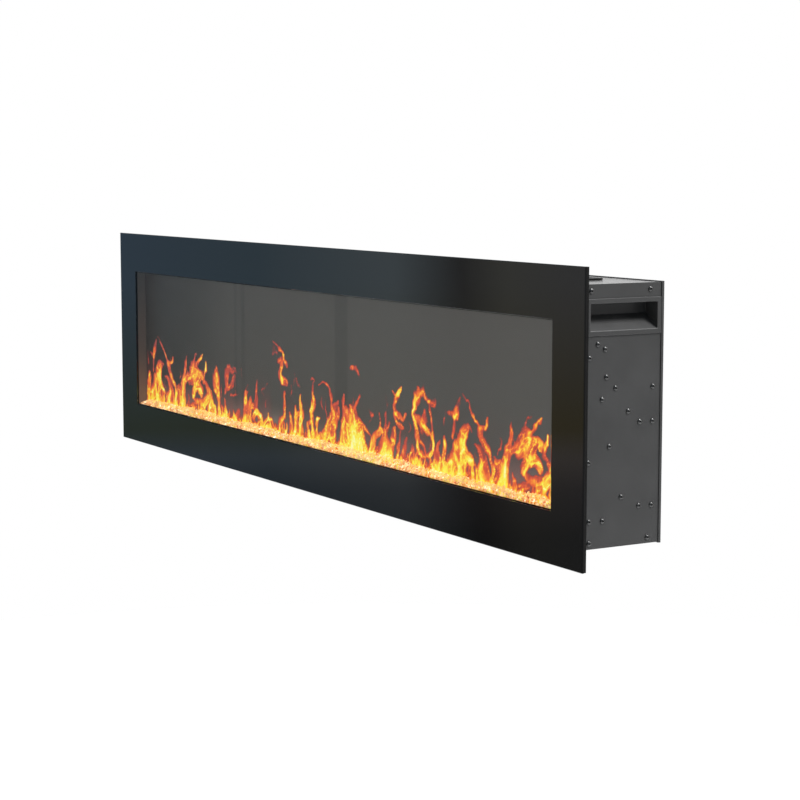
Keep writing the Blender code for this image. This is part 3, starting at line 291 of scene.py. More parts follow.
@dataclass(frozen=True)
class FlameScreenAcrylic(Finish):
    """Frosted grey acrylic that carries the projected flames as light in its surface."""

    name: str = "frosted_flame_screen"
    body: str = "#2a2928"
    strand_mm: float = 5.0
    frost_mm: float = 1.5      # drawn coarser than real frosting, so that it shows
    # upright darker bands painted into the grey glow, each a place along X and a width
    painted_dark_bands: tuple = ((-0.36, 0.012), (-0.325, 0.018), (0.097, 0.05))     # place along X and width
    painted_band_dimming: float = 0.78

    def dress(self, tree: Any, shader: Any) -> None:
        """Colour the flames by the glow_level attribute, with fine streaks that break them into strands.

        Where there is no flame, a painted grey glow stands in partly for the screen's own faint glow from the
        optics and partly for room light and reflections on it; it is darker towards the left end, with faint
        painted darker upright bands, and near the window's foot a painted warm haze of light from the bed.

        Args:
            tree: The node tree.
            shader: The Principled shader.
        """
        heat = add_node(tree, "ShaderNodeAttribute", attribute_name="glow_level").outputs["Fac"]
        stretch = add_node(tree, "ShaderNodeMapping", {
            "Vector": object_point(tree), "Scale": (1.0, 1.0, 0.4)})
        strands = add_node(tree, "ShaderNodeTexNoise", {
            "Vector": stretch.outputs[0], "Scale": 1 / (self.strand_mm * MM), "Detail": 2.0})
        uneven = spread(tree, strands.outputs[0], 0.90, 1.08)
        hot = add_node(tree, "ShaderNodeMath", {0: heat, 1: uneven}, operation="MULTIPLY")
        flame = add_node(tree, "ShaderNodeValToRGB", {0: hot.outputs[0]})
        fill_ramp(flame, (
            (0.00, "#42342f"), (0.08, "#783a38"), (0.16, "#ac3e34"), (0.25, "#d84c30"),
            (0.34, "#f06c2c"), (0.43, "#fb982e"), (0.53, "#ffc834"), (0.64, "#ffe63a"),
            (0.80, "#fff460"), (1.00, "#fffab0")))
        axes = add_node(tree, "ShaderNodeSeparateXYZ", {0: object_point(tree)})
        across = add_node(tree, "ShaderNodeMapRange", {
            "Value": axes.outputs["X"], "From Min": -WINDOW_HALF, "From Max": WINDOW_HALF})
        # painted grey glow where there is no flame: partly the screen's own faint glow, partly painted room
        # light and reflection; darker towards the left end
        painted_rest_glow = add_node(tree, "ShaderNodeValToRGB", {0: across.outputs[0]})
        fill_ramp(painted_rest_glow, ((0.0, "#221c18"), (0.15, "#2e2a26"), (0.27, "#403c38"), (1.0, "#4a4846")))
        grey = painted_rest_glow.outputs[0]
        # dim the painted glow in upright bands
        for place, width in self.painted_dark_bands:
            aside = add_node(tree, "ShaderNodeMath", {0: axes.outputs["X"], 1: place}, operation="SUBTRACT")
            away = add_node(tree, "ShaderNodeMath", {0: aside.outputs[0]}, operation="ABSOLUTE")
            clear = add_node(tree, "ShaderNodeMapRange", {
                "Value": away.outputs[0], "From Min": width / 2 - 0.003, "From Max": width / 2 + 0.003,
                "To Min": self.painted_band_dimming})
            dimmed = add_node(tree, "ShaderNodeMix", {0: 1.0, 6: grey, 7: clear.outputs[0]},
                              data_type="RGBA", blend_type="MULTIPLY")
            grey = dimmed.outputs[2]
        # painted warm light from the bed, colour #a2948c, on the screen's lower part, in cloudy patches
        low = add_node(tree, "ShaderNodeMapRange", {
            "Value": axes.outputs["Z"], "From Min": WINDOW_FOOT + 0.010, "From Max": WINDOW_FOOT + 0.070,
            "To Min": 1.0, "To Max": 0.0}, interpolation_type="SMOOTHSTEP")
        cloud = spread(tree, grain(tree, 70.0), 0.12, 0.62)
        painted_bed_light = add_node(tree, "ShaderNodeMath", {0: low.outputs[0], 1: cloud}, operation="MULTIPLY")
        lit = add_node(tree, "ShaderNodeMix", {
            0: painted_bed_light.outputs[0], 6: grey, 7: linear("#a2948c")}, data_type="RGBA")
        share = add_node(tree, "ShaderNodeMapRange", {"Value": hot.outputs[0], "From Max": 0.14})
        glow = add_node(tree, "ShaderNodeMix", {
            0: share.outputs[0], 6: lit.outputs[2], 7: flame.outputs[0]}, data_type="RGBA")
        self.surface(tree, shader, gloss=(grain(tree, self.frost_mm), 0.42, 0.55))
        feed(tree, shader, {
            "Base Color": linear(self.body), "Emission Color": glow.outputs[2], "Emission Strength": 1.0})


@dataclass(frozen=True)
class CrushedCrystal(Finish):
    """Crushed tempered glass over amber lights: peach bodies, white sparks on the broken faces."""

    name: str = "crushed_crystal_glass"
    pale: str = "#fff4e4"
    amber: str = "#e8bc8c"
    roughness: float = 0.12
    lump_mm: float = 5.0

    def dress(self, tree: Any, shader: Any) -> None:
        """Give each crystal its own tone from a coarse cell pattern, and the glow of the lights below, with
        painted yellow light from the flames in patches along the top of the heap.

        Args:
            tree: The node tree.
            shader: The Principled shader.
        """
        cell = add_node(tree, "ShaderNodeTexVoronoi", {
            "Vector": object_point(tree), "Scale": 1 / (self.lump_mm * MM), "Randomness": 1.0})
        tone = add_node(tree, "ShaderNodeSeparateColor", {0: cell.outputs["Color"]})
        glow = add_node(tree, "ShaderNodeValToRGB", {0: tone.outputs[1]})
        fill_ramp(glow, (
            (0.00, "#7c5c40"), (0.30, "#a27c54"), (0.60, "#c09768"), (0.88, "#dcb888"), (1.00, "#fff2dc")))
        axes = add_node(tree, "ShaderNodeSeparateXYZ", {0: object_point(tree)})
        # painted yellow light from the flames, colour #ffc84c, in patches along the top of the heap
        crest = add_node(tree, "ShaderNodeMapRange", {
            "Value": axes.outputs["Z"], "From Min": WINDOW_FOOT + 0.006, "From Max": WINDOW_FOOT + 0.016})
        painted_flame_light = spread(tree, grain(tree, 45.0), 0.0, 0.8)
        share = add_node(tree, "ShaderNodeMath", {0: crest.outputs[0], 1: painted_flame_light}, operation="MULTIPLY")
        warm = add_node(tree, "ShaderNodeMix", {
            0: share.outputs[0], 6: glow.outputs[0], 7: linear("#ffc84c")}, data_type="RGBA")
        self.surface(tree, shader, (tone.outputs[0], self.amber, self.pale))
        feed(tree, shader, {
            "Emission Color": warm.outputs[2], "Emission Strength": 0.8, "Roughness": self.roughness,
            "Transmission Weight": 0.25, "IOR": 1.5})


@dataclass(frozen=True)
class PassivatedSteel(Finish):
    """Black-passivated steel screws: dark metal with a clear highlight on each dome."""

    name: str = "black_passivated_steel"
    colour: str = "#545454"
    shade: str = "#484848"

    def dress(self, tree: Any, shader: Any) -> None:
        """Leave the passivation slightly uneven.

        Args:
            tree: The node tree.
            shader: The Principled shader.
        """
        mottle = grain(tree, 1.2)
        self.surface(tree, shader, (mottle, self.shade, self.colour), (mottle, 0.26, 0.34),
                     (mottle, 0.01, 0.4))
        feed(tree, shader, {"Metallic": 0.9})


@dataclass(frozen=True)
class EmberLitLining(Finish):
    """Black-coated lining of the chamber, warm near the bed because the embers shine on it."""

    name: str = "ember_lit_lining"

    def dress(self, tree: Any, shader: Any) -> None:
        """Add warm light that is part of the finish and fades with height above the bed.

        Args:
            tree: The node tree.
            shader: The Principled shader.
        """
        axes = add_node(tree, "ShaderNodeSeparateXYZ", {0: object_point(tree)})
        rise = add_node(tree, "ShaderNodeMapRange", {
            "Value": axes.outputs["Z"], "From Min": WINDOW_FOOT, "From Max": WINDOW_FOOT + 0.30})
        glow = add_node(tree, "ShaderNodeValToRGB", {0: rise.outputs[0]})
        fill_ramp(glow, ((0.0, "#6a4a3e"), (0.15, "#5e463c"), (0.40, "#463a34"), (1.0, "#302d2a")))
        self.surface(tree, shader, (grain(tree, 60.0), "#0b0b0b", "#0e0e0e"),
                     relief=(grain(tree, 2.2, 3.0), 0.05, 0.5))
        feed(tree, shader, {"Emission Color": glow.outputs[0], "Emission Strength": 1.0, "Roughness": 0.5})


@dataclass(frozen=True)
class ZincSheet(Finish):
    """Hot-dip galvanised sheet: pale grey metal with spangles about 9 mm across."""

    name: str = "galvanised_sheet"
    colour: str = "#b4b8ba"
    shade: str = "#9da2a5"
    spangle_mm: float = 9.0

    def dress(self, tree: Any, shader: Any) -> None:
        """Let the spangles differ in tone and gloss.

        Args:
            tree: The node tree.
            shader: The Principled shader.
        """
        cell = add_node(tree, "ShaderNodeTexVoronoi", {
            "Vector": object_point(tree), "Scale": 1 / (self.spangle_mm * MM)})
        tone = add_node(tree, "ShaderNodeSeparateColor", {0: cell.outputs["Color"]})
        self.surface(tree, shader, (tone.outputs[0], self.shade, self.colour), (tone.outputs[1], 0.3, 0.46),
                     (grain(tree, 3.0), 0.02, 0.4))
        feed(tree, shader, {"Metallic": 1.0})


@dataclass(frozen=True)
class MirrorFoil(Finish):
    """Polished aluminium reflector sheet with fine rolling lines along its length."""

    name: str = "polished_reflector_aluminium"
    colour: str = "#dcdee0"
    line_mm: float = 0.8

    def dress(self, tree: Any, shader: Any) -> None:
        """Draw the rolling lines along X.

        Args:
            tree: The node tree.
            shader: The Principled shader.
        """
        stretch = add_node(tree, "ShaderNodeMapping", {
            "Vector": object_point(tree), "Scale": (0.02, 1.0, 1.0)})
        lines = add_node(tree, "ShaderNodeTexNoise", {
            "Vector": stretch.outputs[0], "Scale": 1 / (self.line_mm * MM), "Detail": 2.0})
        self.surface(tree, shader, gloss=(lines.outputs[0], 0.08, 0.2), relief=(lines.outputs[0], 0.01, 0.4))
        feed(tree, shader, {"Base Color": linear(self.colour), "Metallic": 1.0})


@dataclass(frozen=True)
class Moulded(Finish):
    """Moulded plastic or pressed ceramic: a fine, even texture that keeps every highlight soft."""

    name: str = "moulded_abs"
    colour: str = "#0c0c0d"
    shade: str = "#111112"
    roughness: float = 0.42
    texture_mm: float = 0.9

    def dress(self, tree: Any, shader: Any) -> None:
        """Put the eroded grain in the relief and the gloss.

        Args:
            tree: The node tree.
            shader: The Principled shader.
        """
        texture = grain(tree, self.texture_mm, 3.0)
        self.surface(tree, shader, (grain(tree, 25.0), self.colour, self.shade),
                     (texture, self.roughness - 0.06, self.roughness + 0.08), (texture, 0.04, 0.5))


@dataclass(frozen=True)
class ClearAcrylic(Finish):
    """Extruded clear acrylic: a see-through bar with soft highlights."""

    name: str = "clear_extruded_acrylic"
    tint: str = "#f6ece0"

    def dress(self, tree: Any, shader: Any) -> None:
        """Clear body with a slightly uneven gloss."""
        feed(tree, shader, {"Base Color": linear(self.tint), "Transmission Weight": 0.9, "IOR": 1.49})
        self.surface(tree, shader, gloss=(grain(tree, 6.0), 0.06, 0.14))


@dataclass(frozen=True)
class SolderMask(Finish):
    """Green solder mask on a fibreglass board, with copper lines just showing through."""

    name: str = "green_solder_mask"
    colour: str = "#0d4a26"
    line: str = "#1a6a38"

    def dress(self, tree: Any, shader: Any) -> None:
        """Show the copper as angular cells seen through the mask.

        Args:
            tree: The node tree.
            shader: The Principled shader.
        """
        lines = add_node(tree, "ShaderNodeTexVoronoi", {
            "Vector": object_point(tree), "Scale": 1 / (4.0 * MM)}, distance="MANHATTAN")
        self.surface(tree, shader, (spread(tree, lines.outputs[0], 0.0, 1.0), self.colour, self.line))
        feed(tree, shader, {"Roughness": 0.35})


FINISH_OF_SLOT: dict[str, Finish] = {
    "black_glass": BackPaintedGlass(),
    "clear_glass": ClearGlass(),
    "frosted_acrylic": FlameScreenAcrylic(),
    "clear_acrylic": ClearAcrylic(),
    "ember_crystal": CrushedCrystal(),
    "satin_steel": PowderCoat(),
    "black_steel": PowderCoat("black_powder_coated_steel", "#0e0e0e", "#0b0b0b", 2.2, 0.5, 0.0, 0.2),
    "screw_black": PassivatedSteel(),
    "black_plastic": Moulded(),
    "rocker_plastic": Moulded("semi_gloss_abs", "#0a0a0b", "#0e0e0f", 0.22, 1.4),
    "galvanised_steel": ZincSheet(),
    "mirror_foil": MirrorFoil(),
    "circuit_board": SolderMask(),
    "white_nylon": Moulded("natural_nylon", "#d8d6cc", "#cfcdc2", 0.45, 1.1),
    "heater_ceramic": Moulded("heater_ceramic", "#a89f90", "#b8b0a2", 0.6, 0.8),
}


# ---------------------------------------------------------------- mesh helpers
def plain_object(name: str, mesh: Any, finish: Finish) -> Any:
    """Link a finished mesh as an object at the origin.

    Args:
        name: The piece's name.
        mesh: A bmesh, which is freed, or mesh data.
        finish: The finish for its only slot.

    Returns:
        The new object.
    """
    data = mesh
    if isinstance(mesh, bmesh.types.BMesh):
        data = bpy.data.meshes.new(name)
        mesh.to_mesh(data)
        mesh.free()
    data.materials.clear()
    data.materials.append(finish.material())
    made = bpy.data.objects.new(name, data)
    bpy.context.scene.collection.objects.link(made)
    return made


def settle(piece: Any, body: str, slot: str, *nodes: str) -> None:
    """Put a piece on the body that it rides on and hide the CAD nodes that it stands for.

    Args:
        piece: The finished object.
        body: The CAD body.
        slot: The record's material slot; not used.
        nodes: The CAD nodes that the piece replaces.
    """
    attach(piece, body)
    if nodes:
        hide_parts(*nodes)
    log.info("%s on %s: %d faces", piece.name, body, len(piece.data.polygons))


def body_of_node(node: str) -> str:
    """Return the CAD body that holds a node."""
    bodies = frame["record"]["behaviour"]["bodies"]
    return next(body for body, members in bodies.items() if node in members)


def slot_of_node(node: str) -> str:
    """Return the record's material slot of a node."""
    return next(row["material_slot"] for row in frame["record"]["subparts"] if row["node"] == node)


def eased(node: str, width_mm: float, segments: int = 2, finish: Finish | None = None) -> Any:
    """Copy a CAD node with its sharp edges eased, as a folded or ground edge is, and replace the node.

    Args:
        node: The CAD node.
        width_mm: Width of the eased edge.
        segments: Steps across it.
        finish: A finish of its own, where it isn't the one of the node's slot.

    Returns:
        The new object, riding on the node's body.
    """
    mesh = bmesh.new()
    mesh.from_mesh(frame["nodes"][node].data)
    bmesh.ops.remove_doubles(mesh, verts=mesh.verts, dist=1e-6)
    bmesh.ops.dissolve_limit(mesh, angle_limit=math.radians(1), verts=mesh.verts, edges=mesh.edges)
    sharp = [edge for edge in mesh.edges if edge.is_manifold and edge.calc_face_angle(0) > math.radians(35)]
    bmesh.ops.bevel(mesh, geom=sharp, offset=width_mm * MM, segments=segments, profile=0.5,
                    affect="EDGES", clamp_overlap=True, harden_normals=False)
    slot = slot_of_node(node)
    piece = plain_object(node + "_shell", mesh, finish or FINISH_OF_SLOT[slot])
    settle(piece, body_of_node(node), slot, node)
    return piece


def grown(name: str, base: Any, tree: Any, inputs: dict[str, Any], finish: Finish) -> Any:
    """Run a Geometry Nodes tree on a base object and keep the result as a plain mesh.

    Args:
        name: The new piece's name.
        base: The object the tree starts from; it is removed afterwards.
        tree: The Geometry Nodes tree.
        inputs: Values for the tree's named inputs.
        finish: The finish for the new piece.

    Returns:
        The new object.
    """
    modifier = base.modifiers.new("grow", "NODES")
    modifier.node_group = tree
    for item in tree.interface.items_tree:
        if item.in_out == "INPUT" and item.name in inputs:
            modifier[item.identifier] = inputs[item.name]
    bpy.context.view_layer.update()
    graph = bpy.context.evaluated_depsgraph_get()
    data = bpy.data.meshes.new_from_object(base.evaluated_get(graph))
    base.modifiers.remove(modifier)
    bpy.data.objects.remove(base)
    data.name = name
    return plain_object(name, data, finish)


def new_tree(name: str, inputs: dict[str, tuple[str, Any]]) -> tuple[Any, Any, Any]:
    """Start a Geometry Nodes tree with named inputs.

    Args:
        name: The tree's name.
        inputs: Input names, each with its socket type and default value.

    Returns:
        The tree, its group input node and its group output node.
    """
    tree = bpy.data.node_groups.new(name, "GeometryNodeTree")
    tree.interface.new_socket("Geometry", in_out="INPUT", socket_type="NodeSocketGeometry")
    for label, (kind, value) in inputs.items():
        socket = tree.interface.new_socket(label, in_out="INPUT", socket_type=kind)
        if value is not None:
            socket.default_value = value
    tree.interface.new_socket("Geometry", in_out="OUTPUT", socket_type="NodeSocketGeometry")
    return tree, add_node(tree, "NodeGroupInput"), add_node(tree, "NodeGroupOutput")


# ---------------------------------------------------------------- flame picture
REPEAT_MM = 1289.0       # the optics throw the same flames again after this width


@dataclass(frozen=True)
class Lick:
    """One tongue of flame, drawn as listed points.

    Its points are (x, z, half width) in mm from foot to tip: x from the picture's left edge, z above
    the window's lower edge. foot and tip are the heat at its two ends.
    """

    points: tuple
    foot: float = 0.9
    tip: float = 0.45


LICKS = (
    # the group at the left end
    Lick(((12, 6, 9), (11, 35, 7), (14, 60, 5), (10, 76, 2)), 0.95, 0.5),
    Lick(((32, 4, 14), (38, 35, 13), (48, 60, 8), (58, 72, 3)), 0.62, 0.35),
    Lick(((58, 6, 8), (52, 40, 9), (44, 66, 6)), 0.55, 0.4),
    Lick(((38, 78, 2), (42, 95, 3.5), (44, 108, 3)), 0.3, 0.35),
    Lick(((20, 119, 2), (34, 118, 5), (46, 118, 8), (50, 132, 6), (58, 147, 2)), 0.4, 0.3),
    Lick(((46, 112, 5), (47, 122, 5), (46, 130, 3)), 0.85, 0.6),
    # blob with the bright sash
    Lick(((72, 40, 9), (66, 66, 11), (72, 90, 11), (88, 99, 5), (100, 94, 2)), 0.8, 0.42),
    Lick(((102, 36, 2.5), (86, 50, 7), (70, 62, 8), (66, 72, 5)), 1.0, 0.8),
    Lick(((62, 8, 12), (66, 28, 11), (74, 48, 9)), 0.6, 0.6),
    Lick(((84, 6, 10), (92, 26, 9), (90, 46, 5)), 0.6, 0.4),
    # long thin arc
    Lick(((146, 121, 2.5), (142, 107, 3.5), (128, 106, 3), (118, 112, 3), (106, 122, 2.6),
          (88, 140, 2.2), (68, 155, 1.2)), 0.85, 0.3),
    Lick(((158, 14, 7), (161, 40, 5), (152, 62, 6), (134, 80, 8), (124, 98, 7), (120, 106, 4)), 0.9, 0.4),
    Lick(((140, 10, 10), (136, 34, 11), (128, 58, 8), (104, 76, 2)), 0.62, 0.3),
    Lick(((118, 8, 12), (120, 26, 10), (132, 42, 6)), 0.75, 0.45),
    Lick(((150, 8, 10), (156, 20, 8), (170, 52, 3)), 1.0, 0.5),
    # second group, rising to the right
    Lick(((182, 10, 14), (186, 32, 13), (176, 54, 6), (168, 60, 2)), 0.62, 0.4),
    Lick(((196, 8, 12), (198, 40, 11), (204, 66, 9), (212, 90, 7), (219, 112, 4), (222, 124, 2)), 0.85, 0.4),
    Lick(((206, 70, 7), (222, 76, 7), (238, 88, 7), (250, 106, 7), (258, 122, 3), (264, 134, 2),
          (274, 134, 2)), 0.6, 0.35),
    Lick(((262, 108, 8), (276, 112, 4), (288, 120, 4), (300, 132, 3), (307, 141, 1.2)), 0.55, 0.6),
    Lick(((236, 76, 10), (256, 92, 12), (280, 98, 9), (304, 97, 5), (306, 84, 3)), 0.55, 1.0),
    Lick(((300, 56, 9), (284, 66, 9), (264, 62, 8), (258, 84, 9)), 1.0, 0.6),
    Lick(((252, 44, 5), (262, 60, 10), (286, 84, 9), (302, 96, 6)), 0.6, 0.8),
    Lick(((250, 46, 3), (264, 36, 4), (290, 34, 6), (318, 38, 7), (332, 50, 7), (328, 68, 6),
          (318, 78, 4)), 0.6, 0.55),
    Lick(((300, 22, 9), (322, 30, 8), (336, 48, 6), (334, 66, 4)), 0.95, 0.7),
    Lick(((240, 24, 3), (262, 28, 3), (286, 34, 3)), 0.4, 0.3),
    Lick(((246, 8, 6), (254, 18, 5), (272, 24, 2)), 0.85, 0.4),
    Lick(((314, 74, 5), (316, 92, 4), (322, 108, 5), (320, 118, 2)), 0.4, 0.95),
    Lick(((338, 8, 9), (344, 30, 8), (350, 50, 4), (346, 64, 2)), 0.8, 0.4),
    Lick(((362, 8, 6), (358, 28, 6), (350, 40, 3)), 0.85, 0.6),
    # single tall flame
    Lick(((386, 6, 5), (382, 30, 6), (381, 52, 6), (374, 72, 10), (370, 96, 13), (376, 112, 6),
          (372, 122, 2)), 1.0, 0.35),
    Lick(((374, 66, 6), (376, 88, 8), (374, 104, 5)), 0.6, 0.75),
    Lick(((404, 6, 9), (402, 22, 8), (396, 34, 4)), 0.8, 0.4),
    Lick(((422, 6, 7), (416, 24, 6), (412, 46, 3), (410, 54, 1)), 0.95, 0.4),
    # detached red flame
    Lick(((424, 86, 6), (426, 108, 9), (436, 118, 8), (452, 114, 6), (464, 120, 5),
          (474, 110, 2)), 0.45, 0.3),
    Lick(((416, 64, 2), (422, 76, 5), (440, 82, 6), (456, 96, 7), (462, 104, 4)), 0.35, 0.45),
    Lick(((442, 64, 2), (464, 68, 2.5), (482, 72, 1)), 0.35, 0.2),
    Lick(((466, 10, 12), (474, 24, 10), (482, 36, 4)), 0.30, 0.18),
    # two arches
    Lick(((506, 8, 7), (512, 30, 6), (516, 52, 6), (514, 70, 5), (520, 78, 2)), 0.9, 0.4),
    Lick(((522, 6, 12), (530, 30, 12), (536, 54, 8), (534, 68, 3)), 0.8, 0.4),
    Lick(((546, 50, 6), (560, 52, 7), (566, 66, 6), (562, 84, 4), (564, 104, 1.5)), 0.6, 0.35),
    Lick(((552, 28, 5), (566, 44, 6), (580, 36, 6), (586, 26, 3)), 1.0, 0.8),
    Lick(((548, 8, 10), (566, 12, 9), (584, 16, 7)), 0.75, 0.6),
    Lick(((592, 6, 4), (602, 22, 4), (618, 32, 4), (636, 28, 4), (648, 10, 4)), 0.7, 0.8),
    Lick(((600, 6, 7), (620, 14, 8), (640, 8, 7)), 0.7, 0.5),
    Lick(((616, 30, 2), (618, 42, 2)), 0.8, 0.5),
    Lick(((586, 86, 1.5), (600, 96, 2.5), (616, 104, 1.5)), 0.25, 0.18),
    # the hook
    Lick(((690, 46, 6), (692, 66, 5), (688, 82, 4), (690, 96, 2)), 0.85, 0.3),
    Lick(((664, 8, 7), (670, 24, 9), (680, 38, 7), (692, 50, 4)), 0.55, 0.6),
    Lick(((694, 10, 3), (700, 22, 3), (698, 34, 1.5)), 0.85, 0.5),
    Lick(((702, 113, 5), (692, 116, 6), (680, 112, 7), (672, 126, 6), (678, 142, 5),
          (682, 152, 5)), 0.55, 0.6),
    Lick(((680, 112, 5), (674, 126, 3), (678, 138, 2)), 0.9, 0.6),
    Lick(((704, 150, 4), (690, 160, 5), (676, 156, 6), (664, 156, 5)), 0.5, 0.35),
    Lick(((690, 160, 4), (686, 172, 4), (672, 180, 3.2), (654, 188, 2.4), (642, 193, 1.2)), 0.75, 0.35),
    Lick(((664, 172, 2), (650, 174, 4), (640, 168, 3), (644, 182, 4)), 0.24, 0.2),
    # low flames in the middle
    Lick(((716, 6, 7), (722, 24, 7), (718, 40, 4), (712, 52, 2)), 0.7, 0.4),
    Lick(((734, 6, 8), (742, 26, 7), (740, 52, 6), (738, 74, 3)), 0.85, 0.45),
    Lick(((760, 8, 5), (758, 36, 5), (762, 58, 6), (758, 78, 4), (760, 92, 1.5)), 0.95, 0.5),
    Lick(((742, 50, 8), (756, 56, 6)), 0.45, 0.45),
    Lick(((744, 126, 2), (750, 116, 3), (756, 108, 2)), 0.25, 0.2),
    Lick(((800, 10, 4), (790, 26, 4), (788, 40, 4), (800, 48, 4), (806, 36, 3)), 0.8, 0.6),
    Lick(((808, 8, 7), (808, 34, 7), (806, 62, 7), (814, 80, 7), (810, 98, 4), (808, 118, 2)), 0.6, 0.45),
    Lick(((800, 70, 5), (808, 84, 5), (812, 98, 3)), 0.85, 0.7),
    Lick(((800, 126, 2), (810, 134, 3), (818, 128, 2), (808, 122, 2)), 0.3, 0.3),
    Lick(((836, 18, 4), (828, 34, 3.4), (828, 52, 3.4), (836, 58, 2)), 0.85, 0.75),
    Lick(((830, 6, 8), (838, 18, 7), (846, 28, 3)), 0.7, 0.4),
    Lick(((856, 16, 3), (858, 34, 4), (866, 46, 4)), 0.5, 0.4),
    # leaning flame with a thin arc
    Lick(((862, 6, 11), (870, 30, 11), (878, 50, 10), (890, 66, 9), (896, 84, 7), (910, 92, 4)), 0.9, 0.4),
    Lick(((892, 72, 6), (888, 88, 4), (888, 100, 3), (880, 114, 3), (868, 124, 2.6), (850, 127, 2),
          (840, 124, 1)), 0.55, 0.35),
    Lick(((888, 8, 8), (894, 30, 8), (898, 56, 7), (908, 74, 6), (914, 84, 3)), 0.8, 0.4),
    # the bright heap
    Lick(((926, 8, 8), (926, 30, 8), (930, 48, 6), (926, 62, 3)), 0.75, 0.4),
    Lick(((944, 6, 12), (942, 36, 10), (938, 64, 7), (934, 92, 5), (934, 112, 2)), 1.0, 0.45),
    Lick(((966, 6, 16), (962, 36, 16), (956, 62, 13), (950, 84, 8)), 1.05, 0.5),
    Lick(((990, 6, 16), (986, 34, 15), (976, 60, 12), (966, 84, 7), (960, 96, 3)), 1.05, 0.5),
    Lick(((1012, 6, 14), (1008, 28, 13), (998, 52, 10), (988, 74, 7), (984, 92, 3)), 0.95, 0.45),
    Lick(((972, 86, 5), (980, 96, 3.6), (990, 106, 3), (1000, 113, 2.6), (998, 117, 1.2)), 0.7, 0.45),
    Lick(((984, 60, 8), (1000, 66, 5), (1022, 54, 3), (1040, 42, 1.5)), 0.6, 0.35),
    Lick(((1006, 34, 4), (1022, 28, 2.5), (1036, 20, 1.5)), 0.55, 0.3),
    Lick(((964, 164, 2), (976, 166, 4), (988, 164, 4), (996, 150, 2)), 0.6, 0.2),
    # arch, then the tall branching flame
    Lick(((1036, 6, 10), (1042, 24, 8), (1056, 46, 6), (1072, 58, 5), (1082, 54, 3)), 0.95, 0.5),
    Lick(((1064, 8, 10), (1076, 28, 10), (1086, 50, 7), (1094, 70, 5), (1092, 92, 2)), 0.8, 0.35),
    Lick(((1090, 8, 9), (1098, 34, 9), (1098, 56, 6), (1108, 78, 4)), 0.8, 0.4),
    Lick(((1068, 60, 2), (1070, 76, 2.4), (1066, 90, 1)), 0.7, 0.4),
    Lick(((1044, 84, 3), (1036, 92, 3), (1030, 98, 1.5)), 0.3, 0.22),
    Lick(((1108, 6, 9), (1112, 28, 8), (1122, 48, 7), (1124, 66, 5)), 0.9, 0.5),
    Lick(((1166, 98, 3), (1154, 88, 4), (1142, 94, 5), (1130, 98, 4), (1136, 82, 4), (1150, 74, 4),
          (1160, 74, 2)), 0.5, 0.6),
    Lick(((1136, 100, 4), (1128, 112, 5), (1134, 126, 4), (1144, 140, 3), (1146, 146, 1.5)), 0.45, 0.85),
    Lick(((1118, 138, 1.5), (1130, 134, 2.5), (1142, 136, 2.5), (1146, 148, 2)), 0.8, 0.8),
    Lick(((1136, 8, 7), (1140, 30, 6), (1146, 52, 4), (1150, 66, 2)), 0.5, 0.3),
    Lick(((1162, 6, 5), (1164, 30, 4), (1170, 56, 3)), 0.45, 0.3),
    Lick(((1212, 32, 4), (1206, 56, 4.4), (1202, 82, 5), (1192, 98, 5), (1196, 116, 6),
          (1202, 132, 8), (1208, 146, 4), (1206, 156, 1.5)), 0.9, 0.45),
    Lick(((1194, 96, 6), (1210, 96, 7), (1226, 90, 6), (1240, 76, 5), (1252, 68, 4)), 0.5, 0.7),
    Lick(((1232, 98, 8), (1228, 112, 4), (1224, 88, 5)), 0.45, 0.35),
    Lick(((1218, 34, 4), (1238, 32, 4), (1256, 46, 5), (1257, 74, 4.4), (1254, 96, 4),
          (1250, 114, 4), (1248, 126, 2)), 0.6, 0.4),
    Lick(((1250, 34, 4), (1257, 50, 3), (1257, 74, 2.4)), 0.95, 0.85),
    Lick(((1204, 140, 8), (1220, 144, 7), (1236, 138, 6), (1252, 130, 5), (1266, 128, 6),
          (1270, 136, 4)), 0.5, 0.6),
    Lick(((1222, 140, 4), (1224, 150, 3), (1226, 156, 1)), 0.4, 0.3),
    Lick(((1196, 118, 3), (1194, 128, 3), (1196, 138, 2)), 0.95, 0.8),
    Lick(((1214, 58, 2.4), (1230, 44, 2.4), (1250, 24, 2.4)), 0.55, 0.4),
    Lick(((1222, 76, 5), (1232, 80, 5), (1240, 70, 4)), 0.32, 0.3),
    Lick(((1190, 6, 8), (1196, 24, 7), (1188, 46, 3)), 0.5, 0.3),
    # closing the repeat
    Lick(((1276, 6, 9), (1280, 30, 8), (1274, 54, 5), (1284, 66, 2)), 0.85, 0.45),
    Lick(((1266, 8, 7), (1268, 34, 6), (1262, 52, 3)), 0.6, 0.4),
)


def value_noise(x: np.ndarray, z: np.ndarray, seed: int) -> np.ndarray:
    """Make smooth lattice noise.

    Args:
        x: Positions across, in lattice steps.
        z: Positions up, in lattice steps.
        seed: Picks the pattern.

    Returns:
        Values between -1 and 1, in an array like x.
    """
    column = np.floor(x).astype(np.int64)
    row = np.floor(z).astype(np.int64)
    across = x - column
    up = z - row
    across = across * across * (3 - 2 * across)
    up = up * up * (3 - 2 * up)

    def corner(i: np.ndarray, k: np.ndarray) -> np.ndarray:
        """Turn lattice corners into values.

        Args:
            i: The corners' columns.
            k: The corners' rows.

        Returns:
            One value between -1 and 1 for each corner.
        """
        code = (i * 374761393 + k * 668265263 + seed * 1442695041) & 0xFFFFFFFF
        code = ((code ^ (code >> 13)) * 1274126177) & 0xFFFFFFFF
        return ((code ^ (code >> 16)) & 0xFFFF) / 32767.5 - 1.0

    low = corner(column, row) * (1 - across) + corner(column + 1, row) * across
    high = corner(column, row + 1) * (1 - across) + corner(column + 1, row + 1) * across
    return low * (1 - up) + high * up


